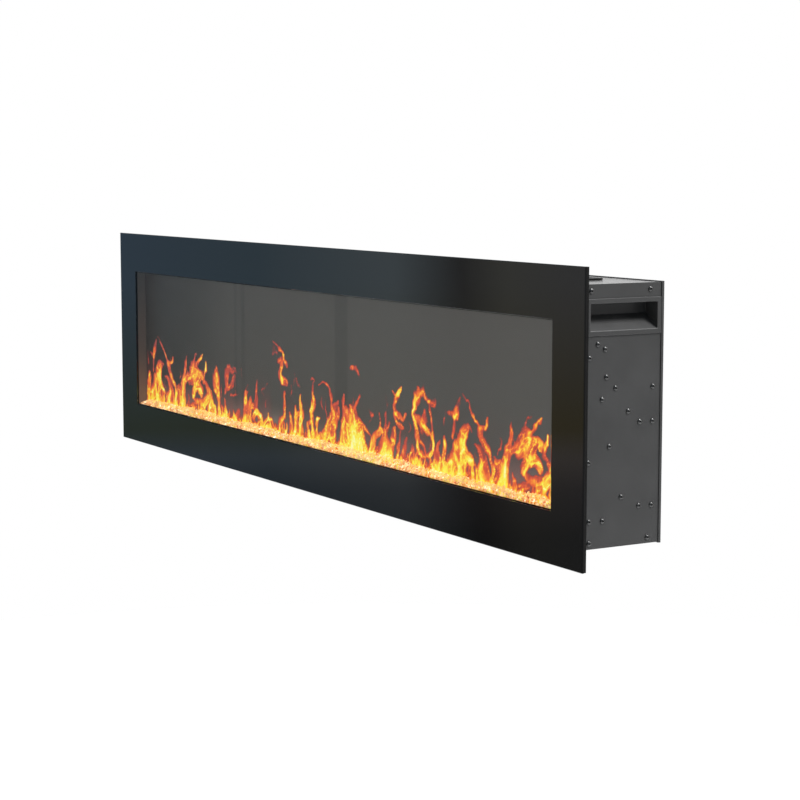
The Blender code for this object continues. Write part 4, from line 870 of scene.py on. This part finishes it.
def with_octaves(base: Any, x: np.ndarray, z: np.ndarray, octaves: tuple) -> np.ndarray:
    """Add noise to a value.

    Args:
        base: What the noise is added to.
        x: Positions across, in mm.
        z: Positions up, in mm.
        octaves: For each noise its amount, its spacing across and up in mm, and its seed.

    Returns:
        The sum, in an array like x.
    """
    for amount, across, up, seed in octaves:
        base = base + amount * value_noise(x / across, z / up, seed)
    return base


def curve(points: tuple, steps: int = 10) -> np.ndarray:
    """Sample a Catmull-Rom curve.

    Args:
        points: The points that it passes through.
        steps: Samples between two points.

    Returns:
        The samples, one in each row.
    """
    knots = np.array(points, float)
    knots = np.vstack([2 * knots[0] - knots[1], knots, 2 * knots[-1] - knots[-2]])
    found = []
    for a, b, c, d in zip(knots, knots[1:], knots[2:], knots[3:]):
        for step in range(steps):
            t = step / steps
            cubic = (3 * b - a - 3 * c + d) * t ** 3
            found.append(0.5 * (2 * b + (c - a) * t + (2 * a - 5 * b + 4 * c - d) * t * t + cubic))
    found.append(knots[-2])
    return np.array(found)


@dataclass(frozen=True)
class FlamePicture:
    """The picture that the optics throw on the screen, as heat from 0 (none) to about 1 (yellow-white)."""

    swell: float = 1.38
    softness: float = 0.8
    filler_count: int = 165
    wisp_count: int = 30
    seed: int = 5
    fold_mm: float = 7.5
    fine_fold_mm: float = 3.4
    # each octave: amount, spacing across and up in mm, seed
    sway: tuple = ((4.5, 24, 30, 1), (2.6, 9, 13, 2), (1.2, 4.0, 6.0, 3))
    bob: tuple = ((4.0, 17, 24, 4), (2.2, 6, 9, 5))
    patches: tuple = ((0.34, 15, 19, 12), (0.22, 6, 8, 13))

    def fillers(self) -> tuple:
        """Make the short tongues that fill the gaps along the bed, and thin wisps that drift above them.

        Returns:
            The tongues.
        """
        rng = np.random.default_rng(self.seed)
        made = []
        for index in range(self.filler_count):
            foot = REPEAT_MM * (index + rng.uniform(0, 1)) / self.filler_count
            rise = rng.uniform(14, 42)
            lean = rng.uniform(-12, 12)
            wide = rng.uniform(3.0, 6.5)
            points = ((foot, 3, wide), (foot + lean * 0.2, rise * 0.4, wide),
                      (foot + lean * 0.7, rise * 0.75, wide * 0.6), (foot + lean, rise, wide * 0.25))
            made.append(Lick(points, rng.uniform(0.55, 0.95), rng.uniform(0.2, 0.45)))
        for index in range(self.wisp_count):
            start = REPEAT_MM * (index + rng.uniform(0, 1)) / self.wisp_count
            foot = rng.uniform(48, 112)
            lean = rng.uniform(-9, 9)
            rise = rng.uniform(14, 34)
            points = ((start, foot, 1.2), (start + lean, foot + rise * 0.5, 1.8),
                      (start + lean * 0.4, foot + rise, 0.9))
            made.append(Lick(points, rng.uniform(0.16, 0.34), rng.uniform(0.12, 0.24)))
        return tuple(made)

    def heat(self, x: np.ndarray, z: np.ndarray) -> np.ndarray:
        """Work out the heat at each point.

        Args:
            x: Distances from the picture's left edge, in mm.
            z: Heights above the window's lower edge, in mm.

        Returns:
            An array like x.
        """
        warp_x = with_octaves(x, x, z, self.sway)
        warp_z = with_octaves(z, x, z, self.bob)
        patch = with_octaves(0.84, x, z, self.patches)
        total = np.zeros_like(x)
        for shift in (0.0, REPEAT_MM):
            for number, lick in enumerate(LICKS + self.fillers()):
                self.add_lick(total, lick, number, warp_x - shift, warp_z, patch)
        above = np.clip(z, 0, None)
        low_cloud = np.clip(with_octaves(0.55, warp_x, warp_z, ((0.7, 16, 34, 9),)), 0, 1)
        high_cloud = np.clip(with_octaves(0.4, x, z, ((0.8, 34, 40, 10),)), 0, 1)
        veil = 0.13 * np.exp(-above / 34.0) * low_cloud
        veil += 0.05 * np.exp(-((z - 50) / 50.0) ** 2) * high_cloud
        bed = 0.36 * np.exp(-above / 8.0) * with_octaves(0.9, x, z, ((0.35, 13, 12, 11),))
        return np.clip(np.maximum(total, bed) + veil * np.clip(1 - total, 0, 1), 0, 1.15)

    def add_lick(self, total: np.ndarray, lick: Lick, number: int, x: np.ndarray, z: np.ndarray,
                 patch: np.ndarray) -> None:
        """Lay one tongue over the picture.

        Args:
            total: The heat so far, changed in place.
            lick: The tongue.
            number: Its number, which picks its own folds.
            x: Distances, in mm.
            z: Heights, in mm.
            patch: How clear the flame is at each point.
        """
        line = curve(lick.points)
        width = np.maximum(line[:, 2], 1.3) * self.swell
        low = (line[:, :2] - 1.4 * width[:, None]).min(0)
        high = (line[:, :2] + 1.4 * width[:, None]).max(0)
        near = (x > low[0]) & (x < high[0]) & (z > low[1]) & (z < high[1])
        if not near.any():
            return
        dx = x[near][:, None] - line[:, 0][None]
        dz = z[near][:, None] - line[:, 1][None]
        reach = np.sqrt(dx * dx + dz * dz) / width[None]
        nearest = reach.argmin(1)
        row = np.arange(len(nearest))
        along = nearest / (len(line) - 1)
        tangent = np.gradient(line[:, :2], axis=0)
        tangent /= np.linalg.norm(tangent, axis=1)[:, None] + 1e-9
        aside = dx[row, nearest] * tangent[nearest, 1] - dz[row, nearest] * tangent[nearest, 0]
        fold = value_noise(aside / self.fold_mm + 13.7 * number, along * len(line) / 12 + number, 7)
        fine = value_noise(aside / self.fine_fold_mm + 5.1 * number, along * len(line) / 16 + number, 8)
        strand = (1 - np.abs(fold)) ** 10 + 0.55 * (1 - np.abs(fine)) ** 8
        core = np.clip(1 - reach[row, nearest] ** 2, 0, 1) ** self.softness
        heat = lick.foot + (lick.tip - lick.foot) * along
        heat *= 0.92 + 0.40 * np.exp(-z[near] / 42)
        value = heat * core * np.clip(0.52 * patch[near] + 0.82 * strand, 0.12, 1.7)
        before = total[near]
        top = np.maximum(before, value)
        total[near] = np.clip(top + 0.40 * np.minimum(before, value) * (1.1 - top), 0, 1.2)


# ---------------------------------------------------------------- glass front
@dataclass
class GlassFront:
    """The black surround with its ground edge, the backing frame, the clear pane and the lit linings."""

    ground_edge_mm: float = 0.5
    fold_mm: float = 0.4
    lining_edge_mm: float = 0.2

    def build(self) -> None:
        """Ease the edges of the glass pieces and the folded frame."""
        eased("front_glass", self.ground_edge_mm)
        eased("front_subframe", self.fold_mm)
        eased("viewing_glass", self.ground_edge_mm)
        for node in ("chamber_side_left", "chamber_side_right", "chamber_ceiling"):
            eased(node, self.lining_edge_mm, 1, EmberLitLining())


# ---------------------------------------------------------------- flame screen
@dataclass
class FlameScreen:
    """The frosted screen, gridded finely enough to carry the flame picture as an attribute."""

    column_mm: float = 2.5
    row_mm: float = 1.8
    flame_height: float = 0.205

    def build(self) -> None:
        """Make the screen as a closed slab whose front face is a fine grid."""
        low, high = (Vector(corner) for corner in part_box("flame_screen"))
        crest = WINDOW_FOOT + self.flame_height
        xs = np.linspace(low.x, high.x, int((high.x - low.x) / (self.column_mm * MM)) + 1)
        zs = np.concatenate([
            np.linspace(low.z, WINDOW_FOOT, 4)[:-1],
            np.linspace(WINDOW_FOOT, crest, int((crest - WINDOW_FOOT) / (self.row_mm * MM)) + 1),
            np.linspace(crest, high.z, 6)[1:]])
        grid_x, grid_z = np.meshgrid(xs, zs)
        heat = FlamePicture().heat((grid_x + WINDOW_HALF) / MM, (grid_z - WINDOW_FOOT) / MM)
        mesh = bmesh.new()
        layer = mesh.verts.layers.float.new("glow_level")
        front = [[mesh.verts.new((x, low.y, z)) for x in xs] for z in zs]
        for row, verts in enumerate(front):
            for column, vert in enumerate(verts):
                vert[layer] = float(heat[row, column])
        for row in range(len(zs) - 1):
            for column in range(len(xs) - 1):
                mesh.faces.new((front[row][column], front[row][column + 1],
                                front[row + 1][column + 1], front[row + 1][column]))
        rim = front[0][:-1] + [row[-1] for row in front[:-1]]
        rim += front[-1][:0:-1] + [row[0] for row in front[:0:-1]]
        back = [mesh.verts.new((vert.co.x, high.y, vert.co.z)) for vert in rim]
        for i, vert in enumerate(rim):
            j = (i + 1) % len(rim)
            mesh.faces.new((rim[j], vert, back[i], back[j]))
        mesh.faces.new(back)
        bmesh.ops.recalc_face_normals(mesh, faces=mesh.faces)
        piece = plain_object("flame_screen_picture", mesh, FINISH_OF_SLOT["frosted_acrylic"])
        settle(piece, "unit", "frosted_acrylic", "flame_screen")


# ---------------------------------------------------------------- ember bed
@dataclass
class EmberBed:
    """Crushed crystals heaped in the channel between the pane and the flame screen."""

    crystal_mm: float = 5.8
    density: float = 90000.0     # crystals for each square metre
    seed: int = 7
    shape_count: int = 5
    crown: float = 0.013         # how far the heap rises from its front to its back
    lumps: tuple = ((0.0016, 9.0, 0.0), (0.0014, 23.0, 1.0), (0.0012, 61.0, 0.0))   # height, rate, phase

    def build(self) -> None:
        """Scatter crystals over a heaped surface and keep them inside the channel."""
        low, high = (Vector(corner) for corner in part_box("ember_bed"))
        surface = self.heap(low, high)
        shapes = [self.crystal(index) for index in range(self.shape_count)]
        tree, entry, leave = new_tree("crystal_bed", {
            "Density": ("NodeSocketFloat", self.density), "Size": ("NodeSocketFloat", self.crystal_mm * MM),
            "Seed": ("NodeSocketInt", self.seed)})
        seed = entry.outputs["Seed"]
        points = add_node(tree, "GeometryNodeDistributePointsOnFaces", {
            "Mesh": entry.outputs["Geometry"], "Density": entry.outputs["Density"], "Seed": seed})
        gather = add_node(tree, "GeometryNodeGeometryToInstance")
        for shape in shapes:
            info = add_node(tree, "GeometryNodeObjectInfo", {"Object": shape, "As Instance": False})
            tree.links.new(info.outputs["Geometry"], gather.inputs[0])
        turn = add_node(tree, "FunctionNodeRandomValue", {
            0: (0.0, 0.0, 0.0), 1: (math.tau, math.tau, math.tau), "Seed": seed}, data_type="FLOAT_VECTOR")
        size = add_node(tree, "FunctionNodeRandomValue", {2: 0.55, 3: 1.15, "Seed": seed}, data_type="FLOAT")
        scale = add_node(tree, "ShaderNodeMath", {0: size.outputs[1], 1: entry.outputs["Size"]},
                         operation="MULTIPLY")
        placed = add_node(tree, "GeometryNodeInstanceOnPoints", {
            "Points": points.outputs["Points"], "Instance": gather.outputs[0], "Pick Instance": True,
            "Rotation": turn.outputs[0], "Scale": scale.outputs[0]})
        real = add_node(tree, "GeometryNodeRealizeInstances", {0: placed.outputs[0]})
        glass = FINISH_OF_SLOT["ember_crystal"]
        coated = add_node(tree, "GeometryNodeSetMaterial", {0: real.outputs[0], "Material": glass.material()})
        tree.links.new(coated.outputs[0], leave.inputs[0])
        bed = grown("crystal_bed", surface, tree, {
            "Density": self.density, "Size": self.crystal_mm * MM, "Seed": self.seed}, glass)
        for shape in shapes:
            bpy.data.objects.remove(shape)
        # clear of the channel's ends, a hair past the CAD block's front and back, and up to 4 mm above it
        least = low + Vector((0.0005, -0.0001, 0.0))
        most = high + Vector((-0.0005, 0.0001, 0.004))
        for vert in bed.data.vertices:
            vert.co = [min(max(vert.co[axis], least[axis]), most[axis]) for axis in range(3)]
        settle(bed, "unit", "ember_crystal", "ember_bed")

    def heap(self, low: Vector, high: Vector) -> Any:
        """Make the uneven surface that crystals lie on.

        Args:
            low: The least corner of the bed's box.
            high: Its greatest corner.

        Returns:
            The surface, which rises from front to back and sinks towards its ends.
        """
        mesh = bmesh.new()
        across, along = 6, 320
        rows = []
        for step in range(along + 1):
            x = low.x + 0.003 + (high.x - low.x - 0.006) * step / along
            lump = sum(height * math.sin(x * rate + phase) for height, rate, phase in self.lumps)
            ends = min(1.0, 0.45 + (WINDOW_HALF - abs(x)) / 0.12)
            row = []
            for k in range(across + 1):
                share = k / across
                y = low.y + 0.002 + (high.y - low.y - 0.004) * share
                z = WINDOW_FOOT + 0.001 + (self.crown * share ** 0.7 + lump * share) * ends
                row.append(mesh.verts.new((x, y, z)))
            rows.append(row)
        for first, second in zip(rows, rows[1:]):
            for k in range(across):
                mesh.faces.new((first[k], second[k], second[k + 1], first[k + 1]))
        return plain_object("heap", mesh, FINISH_OF_SLOT["ember_crystal"])

    def crystal(self, index: int) -> Any:
        """Make one broken lump with flat faces.

        Args:
            index: Picks the lump's shape.

        Returns:
            The lump, about a metre across, for the tree to scale.
        """
        rng = np.random.default_rng(31 + index)
        mesh = bmesh.new()
        for _ in range(9):
            point = rng.normal(size=3)
            point /= np.linalg.norm(point)
            mesh.verts.new(Vector(point * rng.uniform(0.38, 0.55) * np.array([1.0, 0.8, 0.62])))
        hull = bmesh.ops.convex_hull(mesh, input=mesh.verts)
        spare = [item for item in hull["geom_interior"] if isinstance(item, bmesh.types.BMVert)]
        bmesh.ops.delete(mesh, geom=spare, context="VERTS")
        return plain_object("crystal_%d" % index, mesh, FINISH_OF_SLOT["ember_crystal"])


# ---------------------------------------------------------------- sheet-metal body
@dataclass
class Body:
    """Side panels, covers, grips and the dome-head screws that hold them."""

    fold_mm: float = 0.7
    cup_mm: float = 1.2
    grille_mm: float = 0.4
    head_mm: float = 8.8
    head_height_mm: float = 2.4
    seed: int = 3
    # screws between the corner ones: distance from the body's front edge and height, in mm
    side_screws: tuple = (
        (42, 323), (56, 315), (26, 302), (59, 271), (77, 253), (150, 252), (51, 236), (102, 215), (125, 197),
        (150, 196.5), (66, 161), (26, 138), (90, 79), (125, 62), (150, 61.4), (54, 43.4), (28, 44))

    def build(self) -> None:
        """Ease the folded edges and set the screws on both sides."""
        for node in ("side_panel_left", "side_panel_right", "top_cover", "bottom_pan", "back_cover"):
            eased(node, self.fold_mm)
        for node in ("grip_cup_left", "grip_cup_right"):
            eased(node, self.cup_mm, 3)
        eased("top_vent_grille", self.grille_mm)
        for side in Side:
            self.screws(side)
            self.corner_screws(side)

    def screw_head(self) -> Any:
        """Turn one dome head with a cross recess.

        Returns:
            The head, facing +X, with its seat at the origin.
        """
        radius = self.head_mm / 2 * MM
        height = self.head_height_mm * MM
        mesh = bmesh.new()
        sides = 24
        cross = [0.30 if step % 6 in (0, 1, 5) else 0.12 for step in range(sides)]
        # shares of the height and of the radius, from the seat over the dome and down into the recess
        profile = [(rise, [reach] * sides) for rise, reach in (
            (0.0, 1.0), (0.18, 1.0), (0.5, 0.88), (0.8, 0.62), (0.96, 0.36), (1.0, 0.3))]
        rings = []
        for rise, reaches in profile + [(0.42, cross)]:
            ring = []
            for step, reach in enumerate(reaches):
                angle = math.tau * step / sides
                ring.append(mesh.verts.new((rise * height, reach * radius * math.cos(angle),
                                            reach * radius * math.sin(angle))))
            rings.append(ring)
        for first, second in zip(rings, rings[1:]):
            for step in range(sides):
                after = (step + 1) % sides
                mesh.faces.new((first[step], first[after], second[after], second[step]))
        mesh.faces.new(rings[0])
        mesh.faces.new(rings[-1])
        bmesh.ops.recalc_face_normals(mesh, faces=mesh.faces)
        head = plain_object("screw_head", mesh, FINISH_OF_SLOT["screw_black"])
        head.data.shade_smooth()
        head.data.set_sharp_from_angle(angle=math.radians(40))
        return head

    def screws(self, side: Side) -> None:
        """Set the plain screws of one side on its panel with Geometry Nodes.

        Args:
            side: The end of the body.
        """
        low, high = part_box("side_panel_" + side.name.lower())
        face = (high[0] if side is Side.RIGHT else -low[0]) + 0.0001
        places = bmesh.new()
        for depth, height in self.side_screws:
            places.verts.new((side.value * face, low[1] + depth * MM, low[2] + height * MM))
        base = plain_object("screw_places", places, FINISH_OF_SLOT["screw_black"])
        self.spread_heads("side_screws_" + side.name.lower(), base, side)

    def corner_screws(self, side: Side) -> None:
        """Put finished heads on the four corner screws of one side, over the CAD screws.

        Args:
            side: The end of the body.
        """
        word = side.name.lower()
        places = bmesh.new()
        nodes = ["corner_screw_%s_%d" % (word, number) for number in range(1, 5)]
        for node in nodes:
            low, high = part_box(node)
            outer = high[0] if side is Side.RIGHT else low[0]
            seat = outer - side.value * self.head_height_mm * MM
            places.verts.new((seat, (low[1] + high[1]) / 2, (low[2] + high[2]) / 2))
        base = plain_object("corner_places", places, FINISH_OF_SLOT["screw_black"])
        self.spread_heads("corner_screws_" + word, base, side, *nodes)

    def spread_heads(self, name: str, base: Any, side: Side, *nodes: str) -> None:
        """Instance the screw head on each vertex, each turned by its own angle.

        Args:
            name: The new piece's name.
            base: The object whose vertices are the screws' places.
            side: The end of the body.
            nodes: CAD screws that the heads stand for.
        """
        head = self.screw_head()
        tree, entry, leave = new_tree("screws_" + name, {
            "Screw": ("NodeSocketObject", None), "Scale": ("NodeSocketFloat", 1.0),
            "Seed": ("NodeSocketInt", self.seed)})
        info = add_node(tree, "GeometryNodeObjectInfo", {
            "Object": entry.outputs["Screw"], "As Instance": True})
        turn = add_node(tree, "FunctionNodeRandomValue", {
            2: 0.0, 3: math.tau, "Seed": entry.outputs["Seed"]}, data_type="FLOAT")
        flip = 0.0 if side is Side.RIGHT else math.pi
        rotation = add_node(tree, "ShaderNodeCombineXYZ", {"X": turn.outputs[1], "Z": flip})
        placed = add_node(tree, "GeometryNodeInstanceOnPoints", {
            "Points": entry.outputs["Geometry"], "Instance": info.outputs["Geometry"],
            "Rotation": rotation.outputs[0], "Scale": entry.outputs["Scale"]})
        real = add_node(tree, "GeometryNodeRealizeInstances", {0: placed.outputs[0]})
        steel = FINISH_OF_SLOT["screw_black"]
        coated = add_node(tree, "GeometryNodeSetMaterial", {0: real.outputs[0], "Material": steel.material()})
        tree.links.new(coated.outputs[0], leave.inputs[0])
        piece = grown(name, base, tree, {"Screw": head, "Scale": 1.0, "Seed": self.seed}, steel)
        bpy.data.objects.remove(head)
        settle(piece, "unit", "screw_black", *nodes)


# ---------------------------------------------------------------- studio
@dataclass
class Studio:
    """Camera, soft white surroundings and a pale floor well below the unit."""

    floor_drop: float = 0.9
    floor_radius: float = 3.0
    lens_mm: float = 89.544
    camera_place: tuple = (3.38498, -1.86870, 0.59743)
    camera_tilt_deg: float = 83.3148     # 90 looks level
    camera_turn_deg: float = 59.5196     # 0 looks along +Y
    aim: tuple = (0.5, 0.0, 0.2)         # what the lights face
    # name, place, width and watts of each light
    softboxes: tuple = (
        ("softbox_over_right", (2.7, 1.4, 3.4), 1.2, 190.0), ("softbox_behind", (2.5, 3.3, 1.7), 0.9, 22.0))

    def build(self) -> None:
        """Make the camera, the world, the lights and the floor."""
        bpy.context.scene.view_settings.view_transform = "Standard"
        self.camera()
        self.world()
        self.lights()
        self.floor()

    def camera(self) -> None:
        """Look with a long lens from the right front, a little above the unit."""
        data = bpy.data.cameras.new("camera")
        data.lens = self.lens_mm
        data.sensor_width = 36.0
        data.clip_end = 60.0
        made = bpy.data.objects.new("camera", data)
        made.location = self.camera_place
        made.rotation_euler = (math.radians(self.camera_tilt_deg), 0.0, math.radians(self.camera_turn_deg))
        bpy.context.scene.collection.objects.link(made)
        bpy.context.scene.camera = made

    def world(self) -> None:
        """Make it white all round for the camera, and for reflections a darker studio in front."""
        world = bpy.data.worlds.new("studio")
        bpy.context.scene.world = world
        world.use_nodes = True
        tree = world.node_tree
        tree.nodes.clear()
        point = add_node(tree, "ShaderNodeTexCoord").outputs["Generated"]
        axes = add_node(tree, "ShaderNodeSeparateXYZ", {0: point})
        front = add_node(tree, "ShaderNodeMapRange", {
            "Value": axes.outputs["Y"], "From Min": -0.30, "From Max": -0.05})
        rise = add_node(tree, "ShaderNodeMapRange", {
            "Value": axes.outputs["Z"], "From Min": -0.22, "From Max": -0.04})
        tone = add_node(tree, "ShaderNodeValToRGB", {0: rise.outputs[0]})
        # upwards: the floor, a bright skirting, a wooden rail and a white wall
        fill_ramp(tone, (
            (0.2, "#a0a0a0"), (0.33, "#c8c0c0"), (0.42, "#fff0e8"), (0.5, "#e8d8a8"), (0.9, "#ffffff")))
        wide = add_node(tree, "ShaderNodeMapRange", {
            "Value": axes.outputs["Y"], "From Min": -0.60, "From Max": -0.36})
        hue = add_node(tree, "ShaderNodeValToRGB", {0: wide.outputs[0]})
        # across: a pale wall, a dark post and a window of cool daylight
        fill_ramp(hue, (
            (0.1, "#a8a8a8"), (0.2, "#a8a8a0"), (0.28, "#787878"), (0.4, "#b0c0c8"), (0.65, "#8098a8"),
            (1.0, "#7088a0")))
        room = add_node(tree, "ShaderNodeMix", {0: 1.0, 6: tone.outputs[0], 7: hue.outputs[0]},
                        data_type="RGBA", blend_type="MULTIPLY")
        east = add_node(tree, "ShaderNodeMapRange", {
            "Value": axes.outputs["X"], "From Min": 0.1, "From Max": 0.7})
        white = add_node(tree, "ShaderNodeValToRGB", {0: east.outputs[0]})
        fill_ramp(white, ((0.0, "#ffffff"), (1.0, "#848484")))
        around = add_node(tree, "ShaderNodeMix", {
            0: front.outputs[0], 6: room.outputs[2], 7: white.outputs[0]}, data_type="RGBA")
        path = add_node(tree, "ShaderNodeLightPath")
        seen = add_node(tree, "ShaderNodeMix", {
            0: path.outputs["Is Camera Ray"], 6: around.outputs[2], 7: linear("#ffffff")}, data_type="RGBA")
        shader = add_node(tree, "ShaderNodeBackground", {"Color": seen.outputs[2], "Strength": 1.0})
        out = add_node(tree, "ShaderNodeOutputWorld", {0: shader.outputs[0]})
        out.is_active_output = True

    def lights(self) -> None:
        """Hang a softbox over the right side and a smaller one behind it, which picks out the screws."""
        for name, place, size, power in self.softboxes:
            data = bpy.data.lights.new(name, "AREA")
            data.size = size
            data.energy = power
            made = bpy.data.objects.new(name, data)
            made.location = place
            ray = Vector(self.aim) - Vector(place)
            made.rotation_euler = ray.to_track_quat("-Z", "Y").to_euler()
            made.visible_camera = False
            bpy.context.scene.collection.objects.link(made)

    def floor(self) -> None:
        """Lay a pale round floor, bright enough to merge with the surroundings."""
        mesh = bmesh.new()
        bmesh.ops.create_circle(mesh, cap_ends=True, segments=96, radius=self.floor_radius)
        bmesh.ops.translate(mesh, vec=(0.0, 0.0, CAD_BOX[0][2] - self.floor_drop), verts=mesh.verts)
        piece = plain_object("floor", mesh, FloorPaint())


@dataclass(frozen=True)
class FloorPaint(Finish):
    """Matt white studio paint."""

    name: str = "matt_white_floor"

    def dress(self, tree: Any, shader: Any) -> None:
        """Make it near white, with a little light of its own so that it reads as an endless ground.

        Args:
            tree: The node tree.
            shader: The Principled shader.
        """
        feed(tree, shader, {
            "Base Color": linear("#f6f6f6"), "Roughness": 0.9,
            "Emission Color": linear("#ffffff"), "Emission Strength": 0.4})


# ---------------------------------------------------------------- assembly
def dress_nodes() -> None:
    """Give every CAD node that stays the finish of its slot."""
    for row in frame["record"]["subparts"]:
        piece = frame["nodes"][row["node"]]
        piece.data.materials.clear()
        piece.data.materials.append(FINISH_OF_SLOT[row["material_slot"]].material())


def main() -> None:
    """Build the studio, then every sub-assembly."""
    logging.basicConfig(level=logging.INFO, format="%(name)s: %(message)s")
    Studio().build()
    dress_nodes()
    GlassFront().build()
    FlameScreen().build()
    EmberBed().build()
    Body().build()


if __name__ == "__main__":
    main()
